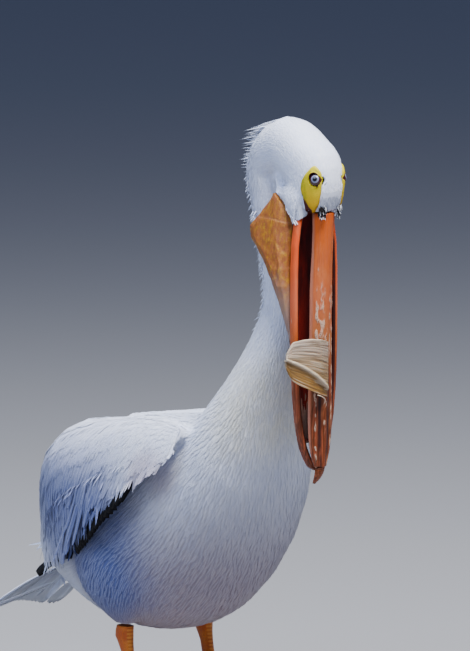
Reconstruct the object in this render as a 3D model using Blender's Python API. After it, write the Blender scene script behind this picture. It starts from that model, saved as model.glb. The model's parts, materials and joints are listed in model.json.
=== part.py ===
"""American white pelican in breeding dress, standing at rest: the solid, life-size model.

The neck stands up from the breast and folds over at the top, so that the bill hangs straight
down in front of the foreneck, with the pouch squeezed between them. The folded wings are held
a little off the flanks, and the feet stand flat on the ground.

Metres, +Z up. The bird looks along -Y and its right side is -X. Every piece is a loft of
sections through a few named stations. The last step moves the whole bird so that the origin
is under the middle of its bounding box, on the ground.
"""

import math
from collections import namedtuple

import bmesh
import bpy
from mathutils import Matrix, Vector

# ---- driving dimensions ------------------------------------------------------------------
GAP = 0.0004  # clearance between neighbouring pieces

# Trunk and neck: one section per station, from its point on the back to its point on the
# belly, both as (y, z), with its half width and how square it is (2 is an ellipse).
BodyStation = namedtuple("BodyStation", "back belly half_width squareness")
TRUNK_AND_NECK = (
    BodyStation((0.346, 0.174), (0.331, 0.144), 0.026, 2.0),  # tail root
    BodyStation((0.332, 0.228), (0.288, 0.125), 0.043, 2.1),  # vent and rump
    BodyStation((0.303, 0.290), (0.228, 0.110), 0.067, 2.2),
    BodyStation((0.252, 0.343), (0.158, 0.104), 0.094, 2.2),
    BodyStation((0.187, 0.367), (0.090, 0.111), 0.109, 2.2),  # widest belly, over the legs
    BodyStation((0.122, 0.378), (0.034, 0.134), 0.111, 2.2),
    BodyStation((0.064, 0.385), (-0.020, 0.188), 0.108, 2.2),
    BodyStation((0.016, 0.398), (-0.062, 0.263), 0.096, 2.1),  # breast
    BodyStation((-0.014, 0.428), (-0.086, 0.342), 0.079, 2.1),
    BodyStation((-0.038, 0.461), (-0.103, 0.412), 0.060, 2.0),  # neck base
    BodyStation((-0.058, 0.500), (-0.122, 0.468), 0.042, 2.0),
    BodyStation((-0.070, 0.536), (-0.132, 0.514), 0.032, 2.0),  # foreneck bulge
    BodyStation((-0.066, 0.578), (-0.127, 0.562), 0.029, 2.0),
    BodyStation((-0.053, 0.622), (-0.115, 0.612), 0.028, 2.0),
    BodyStation((-0.044, 0.660), (-0.106, 0.655), 0.029, 2.0),  # under the fold
)
# Head: the sections turn about the throat crease, from the nape over the crown to the face.
THROAT_CREASE = (-0.106, 0.680)
CREASE_RADIUS = 0.006
CrownStation = namedtuple("CrownStation", "turn reach half_width squareness")
CROWN = (  # degrees from pointing back, and the distance from the crease to the outline
    CrownStation(12, 0.0680, 0.0290, 2.0),
    CrownStation(48, 0.0725, 0.0300, 2.1),
    CrownStation(82, 0.0780, 0.0305, 2.2),
    CrownStation(108, 0.0778, 0.0305, 2.3),
    CrownStation(126, 0.0758, 0.0305, 2.4),
    CrownStation(144, 0.0820, 0.0300, 2.5),
    CrownStation(160, 0.0868, 0.0290, 2.6),
    CrownStation(176, 0.0860, 0.0280, 2.6),
)
FACE = (
    BodyStation((-0.1880, 0.6640), (-0.1270, 0.6600), 0.0255, 2.6),
    BodyStation((-0.1840, 0.6505), (-0.1360, 0.6495), 0.0225, 2.5),  # feather edge
)
# Cheek of the left side: a pointed lobe of feathers that hangs over the hinge of the jaw.
LimbStation = namedtuple("LimbStation", "centre half_width half_depth")
CHEEK = (
    LimbStation((0.0225, -0.1370, 0.6760), 0.0060, 0.0200),
    LimbStation((0.0268, -0.1395, 0.6630), 0.0047, 0.0170),
    LimbStation((0.0290, -0.1450, 0.6520), 0.0036, 0.0112),
    LimbStation((0.0299, -0.1495, 0.6440), 0.0024, 0.0062),
    LimbStation((0.0302, -0.1520, 0.6375), 0.0012, 0.0020),
)
# Where the neck is parted, as station numbers counted from the tail root.
NECK_BASE_CUT = 8.7
NECK_LOWER_CUT = 10.8
NECK_MIDDLE_CUT = 12.8
HEAD_CUT = 14.4
PARTING = 0.012  # of a station: half the parting between two lengths
CUTTER_LAP = 2.5 * PARTING  # how far the cutters run past the ends, so that they overlap

# Bill: the tomial edges hang plumb in one plane. "Down" is the distance below the feather
# edge, and "out" the distance in front of that plane.
BILL_TOP = 0.6495
TOMIAL_Y = -0.1620
UpperStation = namedtuple("UpperStation", "down half_width ridge")
UPPER_MANDIBLE = (
    UpperStation(0.000, 0.0180, 0.0205),
    UpperStation(0.048, 0.0158, 0.0172),
    UpperStation(0.116, 0.0154, 0.0138),
    UpperStation(0.195, 0.0172, 0.0110),
    UpperStation(0.248, 0.0182, 0.0095),
    UpperStation(0.283, 0.0150, 0.0085),
    UpperStation(0.304, 0.0085, 0.0080),
)
UPPER_BACK = 0.0022  # how far its middle stands behind the tomial plane
NAIL_LENGTH = 0.021
NAIL_HALF_WIDTH = 0.0065
NAIL_HOOK = 0.010
# Lower mandible: each branch by its distance down and its half spread.
RamusStation = namedtuple("RamusStation", "down spread")
RAMUS = (
    RamusStation(0.0008, 0.0215),
    RamusStation(0.040, 0.0280),
    RamusStation(0.106, 0.0295),
    RamusStation(0.185, 0.0285),
    RamusStation(0.243, 0.0242),
    RamusStation(0.282, 0.0158),
    RamusStation(0.303, 0.0050),
)
RAMUS_TIP = 0.0035  # how far the joined tip lies below the last station
RAMUS_HALF_THICKNESS = 0.0042
RAMUS_HALF_DEPTH = 0.0062
RAMUS_BEHIND = 0.0108  # from the tomial plane back to the middle of the branch
# Pouch: front and back edges as distances behind the tomial plane, half width, widest level.
PouchStation = namedtuple("PouchStation", "down front back half_width widest")
POUCH = (
    PouchStation(-0.030, 0.046, 0.059, 0.0240, 0.50),
    PouchStation(-0.016, 0.038, 0.062, 0.0300, 0.50),
    PouchStation(0.002, 0.025, 0.080, 0.0340, 0.62),
    PouchStation(0.027, 0.0165, 0.102, 0.0395, 0.74),
    PouchStation(0.052, 0.0158, 0.080, 0.0425, 0.58),
    PouchStation(0.086, 0.0158, 0.054, 0.0440, 0.32),
    PouchStation(0.120, 0.0158, 0.038, 0.0370, 0.35),
    PouchStation(0.158, 0.0158, 0.026, 0.0285, 0.40),
    PouchStation(0.225, 0.0158, 0.0225, 0.0248, 0.45),
    PouchStation(0.278, 0.0158, 0.0215, 0.0140, 0.50),
)

PouchSquareness = namedtuple("PouchSquareness", "front back")
POUCH_SQUARENESS = PouchSquareness(4.0, 2.2)  # it is flat where it spans the two branches

# Nuptial horn: a fibrous plate on the culmen, flopped over to the bird's right.
HORN_DOWN = (0.153, 0.217)
HORN_REACH = 0.054
HORN_HALF_THICKNESS = 0.0016
HORN_ROOT = 0.0140  # its root stands this far out from the tomial plane
HORN_BOW = 0.0090  # how far it bows out on its way across
HORN_DROOP = 0.0090  # how far its edge falls back
HORN_SAG = 0.006  # how far its edge hangs down
HORN_LEAN = -0.59  # radians
HORN_LEAN_OFFSET = 0.17

# Eyes.
EYE_CENTRE = (0.0165, -0.1772, 0.6895)
EYE_RADIUS = 0.0092

# Crest on the nape: a thin shaggy fin between two of the crown's turns.
CREST_TURNS = (-4, 66)
CREST_ROOT = 0.067  # from the crease to the nape
CREST_SUNK = 0.014
CREST_PROUD = 0.021
CREST_HALF_WIDTH = 0.007

# Folded wing of the left side, a shell from the wrist to the longest primary's tip: its lower
# and upper edges, how far it arches out between them, and how deep the arm lies under it.
WingStation = namedtuple("WingStation", "lower upper arch depth")
WING = (
    WingStation((0.110, -0.024, 0.356), (0.088, -0.010, 0.386), 0.006, 0.012),  # wrist
    WingStation((0.126, -0.002, 0.335), (0.070, 0.028, 0.389), 0.017, 0.026),
    WingStation((0.134, 0.040, 0.310), (0.050, 0.080, 0.383), 0.028, 0.036),
    WingStation((0.135, 0.092, 0.276), (0.038, 0.142, 0.374), 0.037, 0.040),
    WingStation((0.127, 0.142, 0.243), (0.034, 0.206, 0.365), 0.044, 0.040),
    WingStation((0.111, 0.190, 0.216), (0.033, 0.264, 0.352), 0.042, 0.036),
    WingStation((0.090, 0.236, 0.194), (0.031, 0.302, 0.308), 0.029, 0.026),
    WingStation((0.069, 0.284, 0.176), (0.030, 0.325, 0.240), 0.015, 0.012),
    WingStation((0.042, 0.356, 0.152), (0.026, 0.360, 0.168), 0.002, 0.004),
)
ARCH_SKEW = 0.35  # the arch is fuller towards the upper edge
COVERT_THICKNESS = 0.0045
COVERT_RANGE = (0.0, 7.3)  # in stations
QUILL_THICKNESS = 0.0032
QUILL_CLEARANCE = 0.0016  # under the coverts, whose facets cut the corners of the arch
QUILLS_TOP = -0.52  # in half chords, under the coverts
# Black flight feathers: from and to in stations, and how far they pass the coverts' edge.
QuillBand = namedtuple("QuillBand", "start stop drop_start drop_stop")
QUILL_BANDS = {
    "secondaries": QuillBand(1.5, 4.9, 0.05, 0.13),
    "primaries": QuillBand(4.92, 8.0, 0.13, 0.00),
}

# Tail: a flat fan below the wing tips.
TailStation = namedtuple("TailStation", "y z half_width half_thickness")
TAIL = (
    TailStation(0.3220, 0.1600, 0.0180, 0.0090),
    TailStation(0.3650, 0.1400, 0.0400, 0.0080),
    TailStation(0.4000, 0.1220, 0.0540, 0.0055),
    TailStation(0.4350, 0.1020, 0.0620, 0.0030),
    TailStation(0.4520, 0.0920, 0.0500, 0.0015),
)
TAIL_ARCH = 0.010
TAIL_UP = Vector((0, 0.45, 0.89))  # square to the fan

# Legs of the left side.
THIGH = (
    LimbStation((0.080, 0.128, 0.258), 0.024, 0.052),
    LimbStation((0.081, 0.134, 0.224), 0.030, 0.070),
    LimbStation((0.078, 0.138, 0.190), 0.033, 0.074),
    LimbStation((0.073, 0.139, 0.160), 0.031, 0.064),
    LimbStation((0.065, 0.139, 0.136), 0.024, 0.041),
    LimbStation((0.061, 0.139, 0.118), 0.0115, 0.0140),
)
TARSUS = (
    LimbStation((0.061, 0.139, 0.1172), 0.0095, 0.0125),  # hock
    LimbStation((0.061, 0.141, 0.104), 0.0100, 0.0135),
    LimbStation((0.061, 0.135, 0.086), 0.0070, 0.0098),
    LimbStation((0.062, 0.127, 0.044), 0.0068, 0.0092),
    LimbStation((0.063, 0.121, 0.024), 0.0088, 0.0110),
    LimbStation((0.063, 0.119, 0.0134), 0.0090, 0.0105),
)
ANKLE = (0.063, 0.119)
ANKLE_RADIUS = 0.0115
FOOT_HEIGHT = 0.0130
WEB_THICKNESS = 0.0028
WEB_EDGE = 0.0009  # how far the rim of the web lies above the ground
Toe = namedtuple("Toe", "turn reach half_angle height")
TOES = (  # turn in degrees from straight ahead, positive towards the bird's outer side
    Toe(-112, 0.060, 6.0, 0.0065),  # hallux
    Toe(-34, 0.098, 4.5, 0.0085),
    Toe(4, 0.116, 4.0, 0.0090),
    Toe(36, 0.108, 4.0, 0.0085),
)
HEEL_REACH = 0.020
WEB_HANG = 0.06  # how far the web's edge falls short between two toes
WEB_HANG_BY_DEGREE = 0.0042

Finish = namedtuple("Finish", "colour roughness")
FINISHES = {
    "plumage": Finish((0.86, 0.87, 0.89), 0.85),
    "quills": Finish((0.015, 0.014, 0.016), 0.55),
    "bill_horn": Finish((0.72, 0.30, 0.09), 0.45),
    "mandible": Finish((0.62, 0.17, 0.06), 0.45),
    "pouch_skin": Finish((0.70, 0.38, 0.08), 0.55),
    "nuptial_plate": Finish((0.62, 0.48, 0.30), 0.60),
    "eye": Finish((0.45, 0.50, 0.58), 0.10),
    "leg_skin": Finish((0.85, 0.38, 0.06), 0.50),
}


# ---- helpers -----------------------------------------------------------------------------
def clear_scene():
    for obj in list(bpy.data.objects):
        bpy.data.objects.remove(obj, do_unlink=True)


def finish_material(name):
    """The Principled material of that name, made once."""
    material = bpy.data.materials.get(name)
    if material is None:
        material = bpy.data.materials.new(name)
        material.use_nodes = True
        shader = material.node_tree.nodes["Principled BSDF"]
        shader.inputs["Base Color"].default_value = (*FINISHES[name].colour, 1.0)
        shader.inputs["Roughness"].default_value = FINISHES[name].roughness
        shader.inputs["Metallic"].default_value = 0.0
    return material


def flat_numbers(station):
    """A station's numbers in one list, so that two stations can be mixed."""
    numbers = []
    for value in station:
        numbers.extend(value if isinstance(value, tuple) else (value,))
    return numbers


def like_station(pattern, numbers):
    """The inverse of flat_numbers: a station of the pattern's kind."""
    left = list(numbers)
    fields = []
    for value in pattern:
        if isinstance(value, tuple):
            fields.append(tuple(left.pop(0) for _ in value))
        else:
            fields.append(left.pop(0))
    return type(pattern)(*fields)


def blend_stations(stations, place):
    """The station at a fractional number, on a Catmull-Rom curve through all of them."""
    last = len(stations) - 1
    index = max(0, min(int(place), last - 1))
    t = place - index
    rows = [flat_numbers(stations[min(max(index + k, 0), last)]) for k in (-1, 0, 1, 2)]
    if index == 0:
        rows[0] = [2 * b - c for b, c in zip(rows[1], rows[2])]
    if index == last - 1:
        rows[3] = [2 * c - b for b, c in zip(rows[1], rows[2])]
    weights = (
        -0.5 * t + t * t - 0.5 * t**3,
        1 - 2.5 * t * t + 1.5 * t**3,
        0.5 * t + 2 * t * t - 1.5 * t**3,
        -0.5 * t * t + 0.5 * t**3,
    )
    mixed = [sum(w * row[k] for w, row in zip(weights, rows)) for k in range(len(rows[0]))]
    return like_station(stations[0], mixed)


def steps(first, last, count):
    """Count + 1 evenly spaced values from first to last."""
    return [first + (last - first) * k / count for k in range(count + 1)]


def round_trip(count, squareness):
    """Cosine and sine of a superellipse at count places: 2 is a circle, more is squarer."""
    power = 2.0 / squareness
    for k in range(count):
        angle = 2 * math.pi * k / count
        cos_a, sin_a = math.cos(angle), math.sin(angle)
        across = math.copysign(abs(cos_a) ** power, cos_a)
        up = math.copysign(abs(sin_a) ** power, sin_a)
        yield across, up


def loft(name, rings, finish, cap=None):
    """A closed solid: a ring of points, extruded from each section to the next."""
    cap = cap or fan_cap
    bm = bmesh.new()
    ring = bmesh.ops.create_circle(bm, segments=len(rings[0]), radius=1.0)["verts"]
    cap(bm, ring, rings[0])
    for section in rings[1:]:
        edges = [bm.edges.get(pair) for pair in zip(ring, ring[1:] + ring[:1])]
        grown = bmesh.ops.extrude_edge_only(bm, edges=edges)["geom"]
        old = set(ring)
        follower = {}
        for vertex in grown:
            if isinstance(vertex, bmesh.types.BMVert):
                for edge in vertex.link_edges:
                    if edge.other_vert(vertex) in old:
                        follower[edge.other_vert(vertex)] = vertex
        ring = [follower[vertex] for vertex in ring]
        for vertex, place in zip(ring, section):
            vertex.co = place
    cap(bm, ring, rings[-1])
    bmesh.ops.triangulate(bm, faces=bm.faces, quad_method="FIXED")
    bmesh.ops.recalc_face_normals(bm, faces=bm.faces)
    return finished_object(name, bm, finish)


def fan_cap(bm, ring, places):
    """Closes a round end with triangles about its middle."""
    for vertex, place in zip(ring, places):
        vertex.co = place
    bmesh.ops.poke(bm, faces=[bm.faces.new(ring)], center_mode="MEAN")


def strip_cap(bm, ring, places):
    """Closes the end of a thin band, whose two sides run side by side."""
    for vertex, place in zip(ring, places):
        vertex.co = place
    for k in range(len(ring) // 2 - 1):
        bm.faces.new((ring[k], ring[k + 1], ring[-2 - k], ring[-1 - k]))


def finished_object(name, bm, finish):
    mesh = bpy.data.meshes.new(name)
    bm.to_mesh(mesh)
    bm.free()
    mesh.shade_smooth()
    mesh.set_sharp_from_angle(angle=math.radians(50))
    obj = bpy.data.objects.new(name, mesh)
    bpy.context.scene.collection.objects.link(obj)
    obj.data.materials.append(finish_material(finish))
    return obj


def as_cutter(obj):
    obj.hide_render = True
    obj.display_type = "WIRE"
    return obj


def combine(obj, other, operation):
    """Takes the other object's shape out of obj (DIFFERENCE) or adds it (UNION)."""
    modifier = obj.modifiers.new(operation.lower() + "_" + other.name, "BOOLEAN")
    modifier.operation = operation
    modifier.solver = "EXACT"
    modifier.object = other
    return obj


def cut(obj, cutter):
    return combine(obj, cutter, "DIFFERENCE")


def sided(point, side):
    """A point given for the left side, on side +1 (left) or -1 (right)."""
    return Vector((point[0] * side, point[1], point[2]))


SIDES = (("left", 1), ("right", -1))


# ---- trunk, neck and head ----------------------------------------------------------------
def crown_stations():
    """The head's sections, like the leaves of a fan about the throat crease."""
    made = []
    crease = Vector(THROAT_CREASE)
    for turn, reach, half_width, squareness in CROWN:
        angle = math.radians(turn)
        way = Vector((math.cos(angle), math.sin(angle)))
        back = tuple(crease + way * reach)
        inner = tuple(crease + way * CREASE_RADIUS)
        made.append(BodyStation(back, inner, half_width, squareness))
    return tuple(made)


BODY = TRUNK_AND_NECK + crown_stations() + FACE
BODY_END = len(BODY) - 1
Length = namedtuple("Length", "start stop sections around")
LENGTHS = {
    "trunk": Length(0, NECK_BASE_CUT, 14, 28),
    "neck_lower": Length(NECK_BASE_CUT, NECK_LOWER_CUT, 4, 22),
    "neck_middle": Length(NECK_LOWER_CUT, NECK_MIDDLE_CUT, 4, 20),
    "neck_upper": Length(NECK_MIDDLE_CUT, HEAD_CUT, 4, 20),
    "head": Length(HEAD_CUT, BODY_END, 14, 20),
}


def body_ring(place, count, grow):
    """The section at a place on the body, made larger by grow on every side."""
    station = blend_stations(BODY, place)
    back = Vector((0, *station.back))
    belly = Vector((0, *station.belly))
    centre = (back + belly) / 2
    rise = back - belly
    half_height = rise.length / 2 + grow
    rise.normalize()
    side = Vector((station.half_width + grow, 0, 0))
    return [centre + side * across + rise * half_height * up
            for across, up in round_trip(count, station.squareness)]


def piece_ends(length):
    """Where a length of the body starts and stops, leaving half a parting to the next."""
    first = length.start + PARTING * (length.start > 0)
    last = length.stop - PARTING * (length.stop < BODY_END)
    return first, last


def make_body():
    """Trunk, three lengths of neck, and the head with its cheeks and eye sockets."""
    for name, length in LENGTHS.items():
        places = steps(*piece_ends(length), length.sections)
        loft(name, [body_ring(place, length.around, 0.0) for place in places], "plumage")
    head = bpy.data.objects["head"]
    for label, side in SIDES:
        combine(head, cheek("cheek_" + label, side, 0.0), "UNION")
    for label, side in SIDES:
        cut(head, eye_ball("socket_cutter_" + label, side, EYE_RADIUS + GAP))


def make_body_cutters():
    """The lengths of the body a little larger, to shape the pieces that lie on them."""
    cutters = {}
    for name, length in LENGTHS.items():
        first, last = piece_ends(length)
        places = [first - CUTTER_LAP, *steps(first, last, length.sections), last + CUTTER_LAP]
        rings = [body_ring(place, length.around, GAP) for place in places]
        cutters[name] = as_cutter(loft(name + "_cutter", rings, "plumage"))
    return cutters


def cheek(name, side, grow):
    return as_cutter(limb(name, CHEEK, side, 5, 12, "plumage", grow))


def eye_ball(name, side, radius):
    bm = bmesh.new()
    bmesh.ops.create_uvsphere(bm, u_segments=12, v_segments=8, radius=radius)
    turn = Matrix.Rotation(math.radians(90), 4, "Y")
    bmesh.ops.transform(bm, matrix=turn, verts=bm.verts)
    bmesh.ops.translate(bm, vec=sided(EYE_CENTRE, side), verts=bm.verts)
    ball = finished_object(name, bm, "eye")
    return as_cutter(ball) if radius > EYE_RADIUS else ball


def make_eyes():
    for label, side in SIDES:
        eye_ball("eye_" + label, side, EYE_RADIUS)


def make_crest(cutters):
    """A thin fin of loose feathers along the nape."""
    rings = []
    sections = 7
    for k, turn in enumerate(steps(*CREST_TURNS, sections)):
        angle = math.radians(turn)
        share = math.sin(math.pi * (k + 0.35) / (sections + 0.7))
        way = Vector((0, math.cos(angle), math.sin(angle)))
        skull = CREST_ROOT + (CROWN[1].reach - CREST_ROOT) * k / sections
        depth = CREST_SUNK + CREST_PROUD * share
        root = Vector((0, *THROAT_CREASE)) + way * (skull - CREST_SUNK)
        half = Vector((CREST_HALF_WIDTH * share + 0.001, 0, 0))
        rings.append([root + way * depth * (0.5 + 0.5 * up) + half * across
                      for across, up in round_trip(10, 2.0)])
    crest = loft("crest", rings, "plumage")
    cut(crest, cutters["head"])
    cut(crest, cutters["neck_upper"])


# ---- bill and pouch ----------------------------------------------------------------------
def bill_point(across, down, out):
    """A point given across, down from the feather edge, and out from the tomial plane."""
    return Vector((across, TOMIAL_Y - out, BILL_TOP - down))


def roof_ring(half_width, ridge, down, back, count):
    """A section of the upper bill: a ridge in front, and nearly flat at the back."""
    ring = []
    for across, out in round_trip(count, 1.9):
        height = ridge if out > 0 else UPPER_BACK
        ring.append(bill_point(half_width * across, down, height * out - back))
    return ring


def make_upper_mandible():
    """A long low roof, with a ridge along the culmen and thin edges."""
    rings = []
    for place in steps(0, len(UPPER_MANDIBLE) - 1, 12):
        station = blend_stations(UPPER_MANDIBLE, place)
        rings.append(roof_ring(station.half_width, station.ridge, station.down + GAP, 0, 14))
    loft("upper_mandible", rings, "bill_horn")


def make_nail():
    """The hooked nail at the tip, which curves back over the lower mandible."""
    start = UPPER_MANDIBLE[-1]
    rings = []
    for place in steps(0, 1, 5):
        half = NAIL_HALF_WIDTH * math.sqrt(1 - 0.93 * place**2)
        ridge = start.ridge * (1 - 0.75 * place)
        down = start.down + 2 * GAP + NAIL_LENGTH * place
        rings.append(roof_ring(half, ridge, down, NAIL_HOOK * place**2, 10))
    loft("bill_nail", rings, "bill_horn")


def ramus_rings(grow=0.0):
    """Sections of the lower mandible, from the right hinge round the tip to the left."""
    half = [blend_stations(RAMUS, place) for place in steps(0, len(RAMUS) - 1, 12)]
    line = [bill_point(-station.spread, station.down, -RAMUS_BEHIND) for station in half]
    line.append(bill_point(0, RAMUS[-1].down + RAMUS_TIP, -RAMUS_BEHIND))
    line += [bill_point(station.spread, station.down, -RAMUS_BEHIND)
             for station in reversed(half)]
    rings = []
    for k, point in enumerate(line):
        along = line[min(k + 1, len(line) - 1)] - line[max(k - 1, 0)]
        across = along.cross(Vector((0, 1, 0))).normalized() * (RAMUS_HALF_THICKNESS + grow)
        out = Vector((0, RAMUS_HALF_DEPTH + grow, 0))
        rings.append([point + across * a + out * b for a, b in round_trip(8, 2.2)])
    return rings


def make_lower_mandible():
    loft("lower_mandible", ramus_rings(), "mandible")


def make_pouch(cutters):
    """The slack bag of skin between the mandible's branches and the foreneck."""
    rings = []
    for place in steps(0, len(POUCH) - 1, 16):
        station = blend_stations(POUCH, place)
        widest = station.front + (station.back - station.front) * station.widest
        front = round_trip(14, POUCH_SQUARENESS.front)
        back = round_trip(14, POUCH_SQUARENESS.back)
        ring = []
        for (front_across, front_out), (back_across, back_out) in zip(front, back):
            if front_out > 0:
                across, out = front_across, (widest - station.front) * front_out
            else:
                across, out = back_across, (station.back - widest) * back_out
            ring.append(bill_point(station.half_width * across, station.down, out - widest))
        rings.append(ring)
    pouch = loft("pouch", rings, "pouch_skin")
    for name in ("neck_lower", "neck_middle", "neck_upper", "head"):
        cut(pouch, cutters[name])
    cut(pouch, as_cutter(loft("ramus_cutter", ramus_rings(grow=GAP), "mandible")))
    for label, side in SIDES:
        cut(pouch, cheek("cheek_cutter_" + label, side, GAP))


def make_horn():
    """The nuptial plate: a half disc that leans over to the right of the culmen."""
    top, bottom = HORN_DOWN
    middle = (top + bottom) / 2
    half_length = (bottom - top) / 2
    rings = []
    for reach in steps(0, 1, 7):
        wide = half_length * math.sqrt(max(1 - (0.97 * reach) ** 2.4, 0.0))
        thick = HORN_HALF_THICKNESS * (1.35 - 0.75 * reach)
        bow = HORN_ROOT + HORN_BOW * math.sin(math.pi * min(reach * 1.15, 1.0))
        lean = HORN_LEAN * math.cos(math.pi * reach) + HORN_LEAN_OFFSET
        ring = []
        for along, level in round_trip(12, 2.0):
            across = thick * level * math.sin(lean) - HORN_REACH * reach
            down = middle + wide * along + HORN_SAG * reach
            out = bow - HORN_DROOP * reach**2 + thick * level * math.cos(lean)
            ring.append(bill_point(across, down, out))
        rings.append(ring)
    loft("bill_horn", rings, "nuptial_plate")


# ---- wings and tail ----------------------------------------------------------------------
WingFrame = namedtuple("WingFrame", "middle chord normal arch depth")


def wing_frame(place, side):
    """Middle, half chord and outward normal of the wing at a place along it."""
    last = len(WING) - 1
    station = blend_stations(WING, place)
    ahead = blend_stations(WING, max(place - 0.25, 0))
    behind = blend_stations(WING, min(place + 0.25, last))
    lower, upper = sided(station.lower, side), sided(station.upper, side)
    along = sided(behind.lower, side) + sided(behind.upper, side)
    along -= sided(ahead.lower, side) + sided(ahead.upper, side)
    chord = (upper - lower) / 2
    normal = along.cross(chord).normalized() * side
    return WingFrame((lower + upper) / 2, chord, normal, station.arch, station.depth)


def wing_point(frame, height, offset):
    """A point of the wing: height is -1 at the lower edge and 1 at the upper one."""
    arch = frame.arch * (1 - height * height) * (1 + ARCH_SKEW * height)
    return frame.middle + frame.chord * height + frame.normal * (arch + offset)


def covert_depth(frame, height):
    """The coverts' thickness alone at the lower edge, and the arm's depth above it."""
    rise = min(max((height + 0.45) / 0.35, 0.0), 1.0)
    return COVERT_THICKNESS + max(frame.depth - COVERT_THICKNESS, 0.0) * rise**2


def make_coverts(label, side, trunk):
    """The white outside of the wing, with the arm under it, shaped against the trunk."""
    rings = []
    levels = steps(-1.0, 1.0, 7)
    for place in steps(*COVERT_RANGE, 14):
        frame = wing_frame(place, side)
        ring = [wing_point(frame, h, 0.0) for h in levels]
        ring += [wing_point(frame, h, -covert_depth(frame, h)) for h in reversed(levels)]
        rings.append(ring)
    cut(loft("wing_" + label, rings, "plumage", strip_cap), trunk)


def make_quills(name, label, side):
    """A black band of flight feathers that shows below the coverts."""
    band = QUILL_BANDS[name]
    outer = -COVERT_THICKNESS - QUILL_CLEARANCE
    inner = outer - QUILL_THICKNESS
    rings = []
    for place in steps(band.start, band.stop, 7):
        share = (place - band.start) / (band.stop - band.start)
        drop = band.drop_start + (band.drop_stop - band.drop_start) * share
        frame = wing_frame(place, side)
        levels = steps(-1.0 - drop, QUILLS_TOP, 4)
        ring = [wing_point(frame, h, outer) for h in levels]
        ring += [wing_point(frame, h, inner) for h in reversed(levels)]
        rings.append(ring)
    return loft(name + "_" + label, rings, "quills", strip_cap)


def make_wings(trunk):
    for label, side in SIDES:
        make_coverts(label, side, trunk)
        thigh = as_cutter(limb("thigh_cutter_" + label, THIGH, side, 8, 16, "plumage", GAP))
        for name in QUILL_BANDS:
            band = make_quills(name, label, side)
            cut(band, trunk)
            cut(band, thigh)


def make_tail(trunk):
    """A short flat fan, arched across its width."""
    rings = []
    for place in steps(0, len(TAIL) - 1, 6):
        station = blend_stations(TAIL, place)
        upper, lower = [], []
        for across in steps(-1, 1, 8):
            middle = Vector((station.half_width * across, station.y, station.z))
            middle -= TAIL_UP * TAIL_ARCH * across**2
            thick = TAIL_UP * station.half_thickness * (1 - 0.7 * across**4)
            upper.append(middle + thick)
            lower.append(middle - thick)
        rings.append(upper + lower[::-1])
    cut(loft("tail", rings, "plumage", strip_cap), trunk)


# ---- legs --------------------------------------------------------------------------------
def limb(name, stations, side, sections, around, finish, grow=0.0):
    """A loft of level ellipses, given for the left side."""
    rings = []
    for place in steps(0, len(stations) - 1, sections):
        station = blend_stations(stations, place)
        centre = sided(station.centre, side)
        rings.append([centre + Vector(((station.half_width + grow) * across,
                                       (station.half_depth + grow) * ahead, 0))
                      for across, ahead in round_trip(around, 2.0)])
    return loft(name, rings, finish)


def web_reach(turn):
    """How far the foot's edge lies from the ankle: webs are slung between the toes' tips."""
    for first, second in zip(TOES, TOES[1:]):
        if first.turn <= turn <= second.turn:
            t = (turn - first.turn) / (second.turn - first.turn)
            span = second.turn - first.turn
            hang = (WEB_HANG + WEB_HANG_BY_DEGREE * span) * math.sin(math.pi * t) ** 0.8
            return (first.reach * (1 - t) + second.reach * t) * (1 - hang)
    edge_toe = TOES[-1] if turn < 180 and turn > TOES[-1].turn else TOES[0]
    beside = abs(turn - edge_toe.turn) <= edge_toe.half_angle
    return edge_toe.reach * 0.83 if beside else HEEL_REACH


def foot_rays():
    """Directions round the foot in degrees: three to each toe, and others between them."""
    turns = []
    for toe in TOES:
        turns += [toe.turn - toe.half_angle, toe.turn, toe.turn + toe.half_angle]
    for first, second in zip(TOES, TOES[1:]):
        turns += steps(first.turn + first.half_angle, second.turn - second.half_angle, 4)[1:-1]
    heel = steps(TOES[-1].turn + TOES[-1].half_angle, TOES[0].turn + 360 - TOES[0].half_angle,
                 6)[1:-1]
    return sorted(turns) + heel


def toe_height(turn):
    """The height of the toe's back along a direction, and 0 on the web."""
    return max((toe.height for toe in TOES if abs(turn - toe.turn) < 0.1), default=0.0)


def make_foot(label, side):
    """Four toes joined by one web: rings from the ankle out to the rim, over a flat sole."""
    ankle = Vector((ANKLE[0] * side, ANKLE[1], 0))
    rays = []
    for turn in foot_rays():
        angle = math.radians(turn)
        way = Vector((math.sin(angle) * side, -math.cos(angle), 0))
        rays.append((way, web_reach(turn), toe_height(turn)))

    def ring(share, top, raise_toes):
        """Points at a share of the way from the ankle's knuckle to the rim."""
        points = []
        for way, reach, toe in rays:
            spot = ankle + way * (ANKLE_RADIUS + (reach - ANKLE_RADIUS) * share)
            spot.z = max(top, toe * (1 - 0.5 * share)) if raise_toes else top
            points.append(spot)
        return points

    knuckle = ring(0.0, FOOT_HEIGHT, False)
    instep = ring(0.28, 0.0050, True)
    middle = ring(0.62, WEB_THICKNESS, True)
    toe_tips = ring(0.90, WEB_THICKNESS * 0.8, True)
    rim = ring(1.0, WEB_EDGE, False)
    sole = ring(0.90, 0.0, False)
    loft("foot_" + label, [knuckle, instep, middle, toe_tips, rim, sole], "leg_skin")


def make_legs(trunk):
    for label, side in SIDES:
        cut(limb("thigh_" + label, THIGH, side, 8, 16, "plumage"), trunk)
        limb("tarsus_" + label, TARSUS, side, 10, 12, "leg_skin")
        make_foot(label, side)


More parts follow.
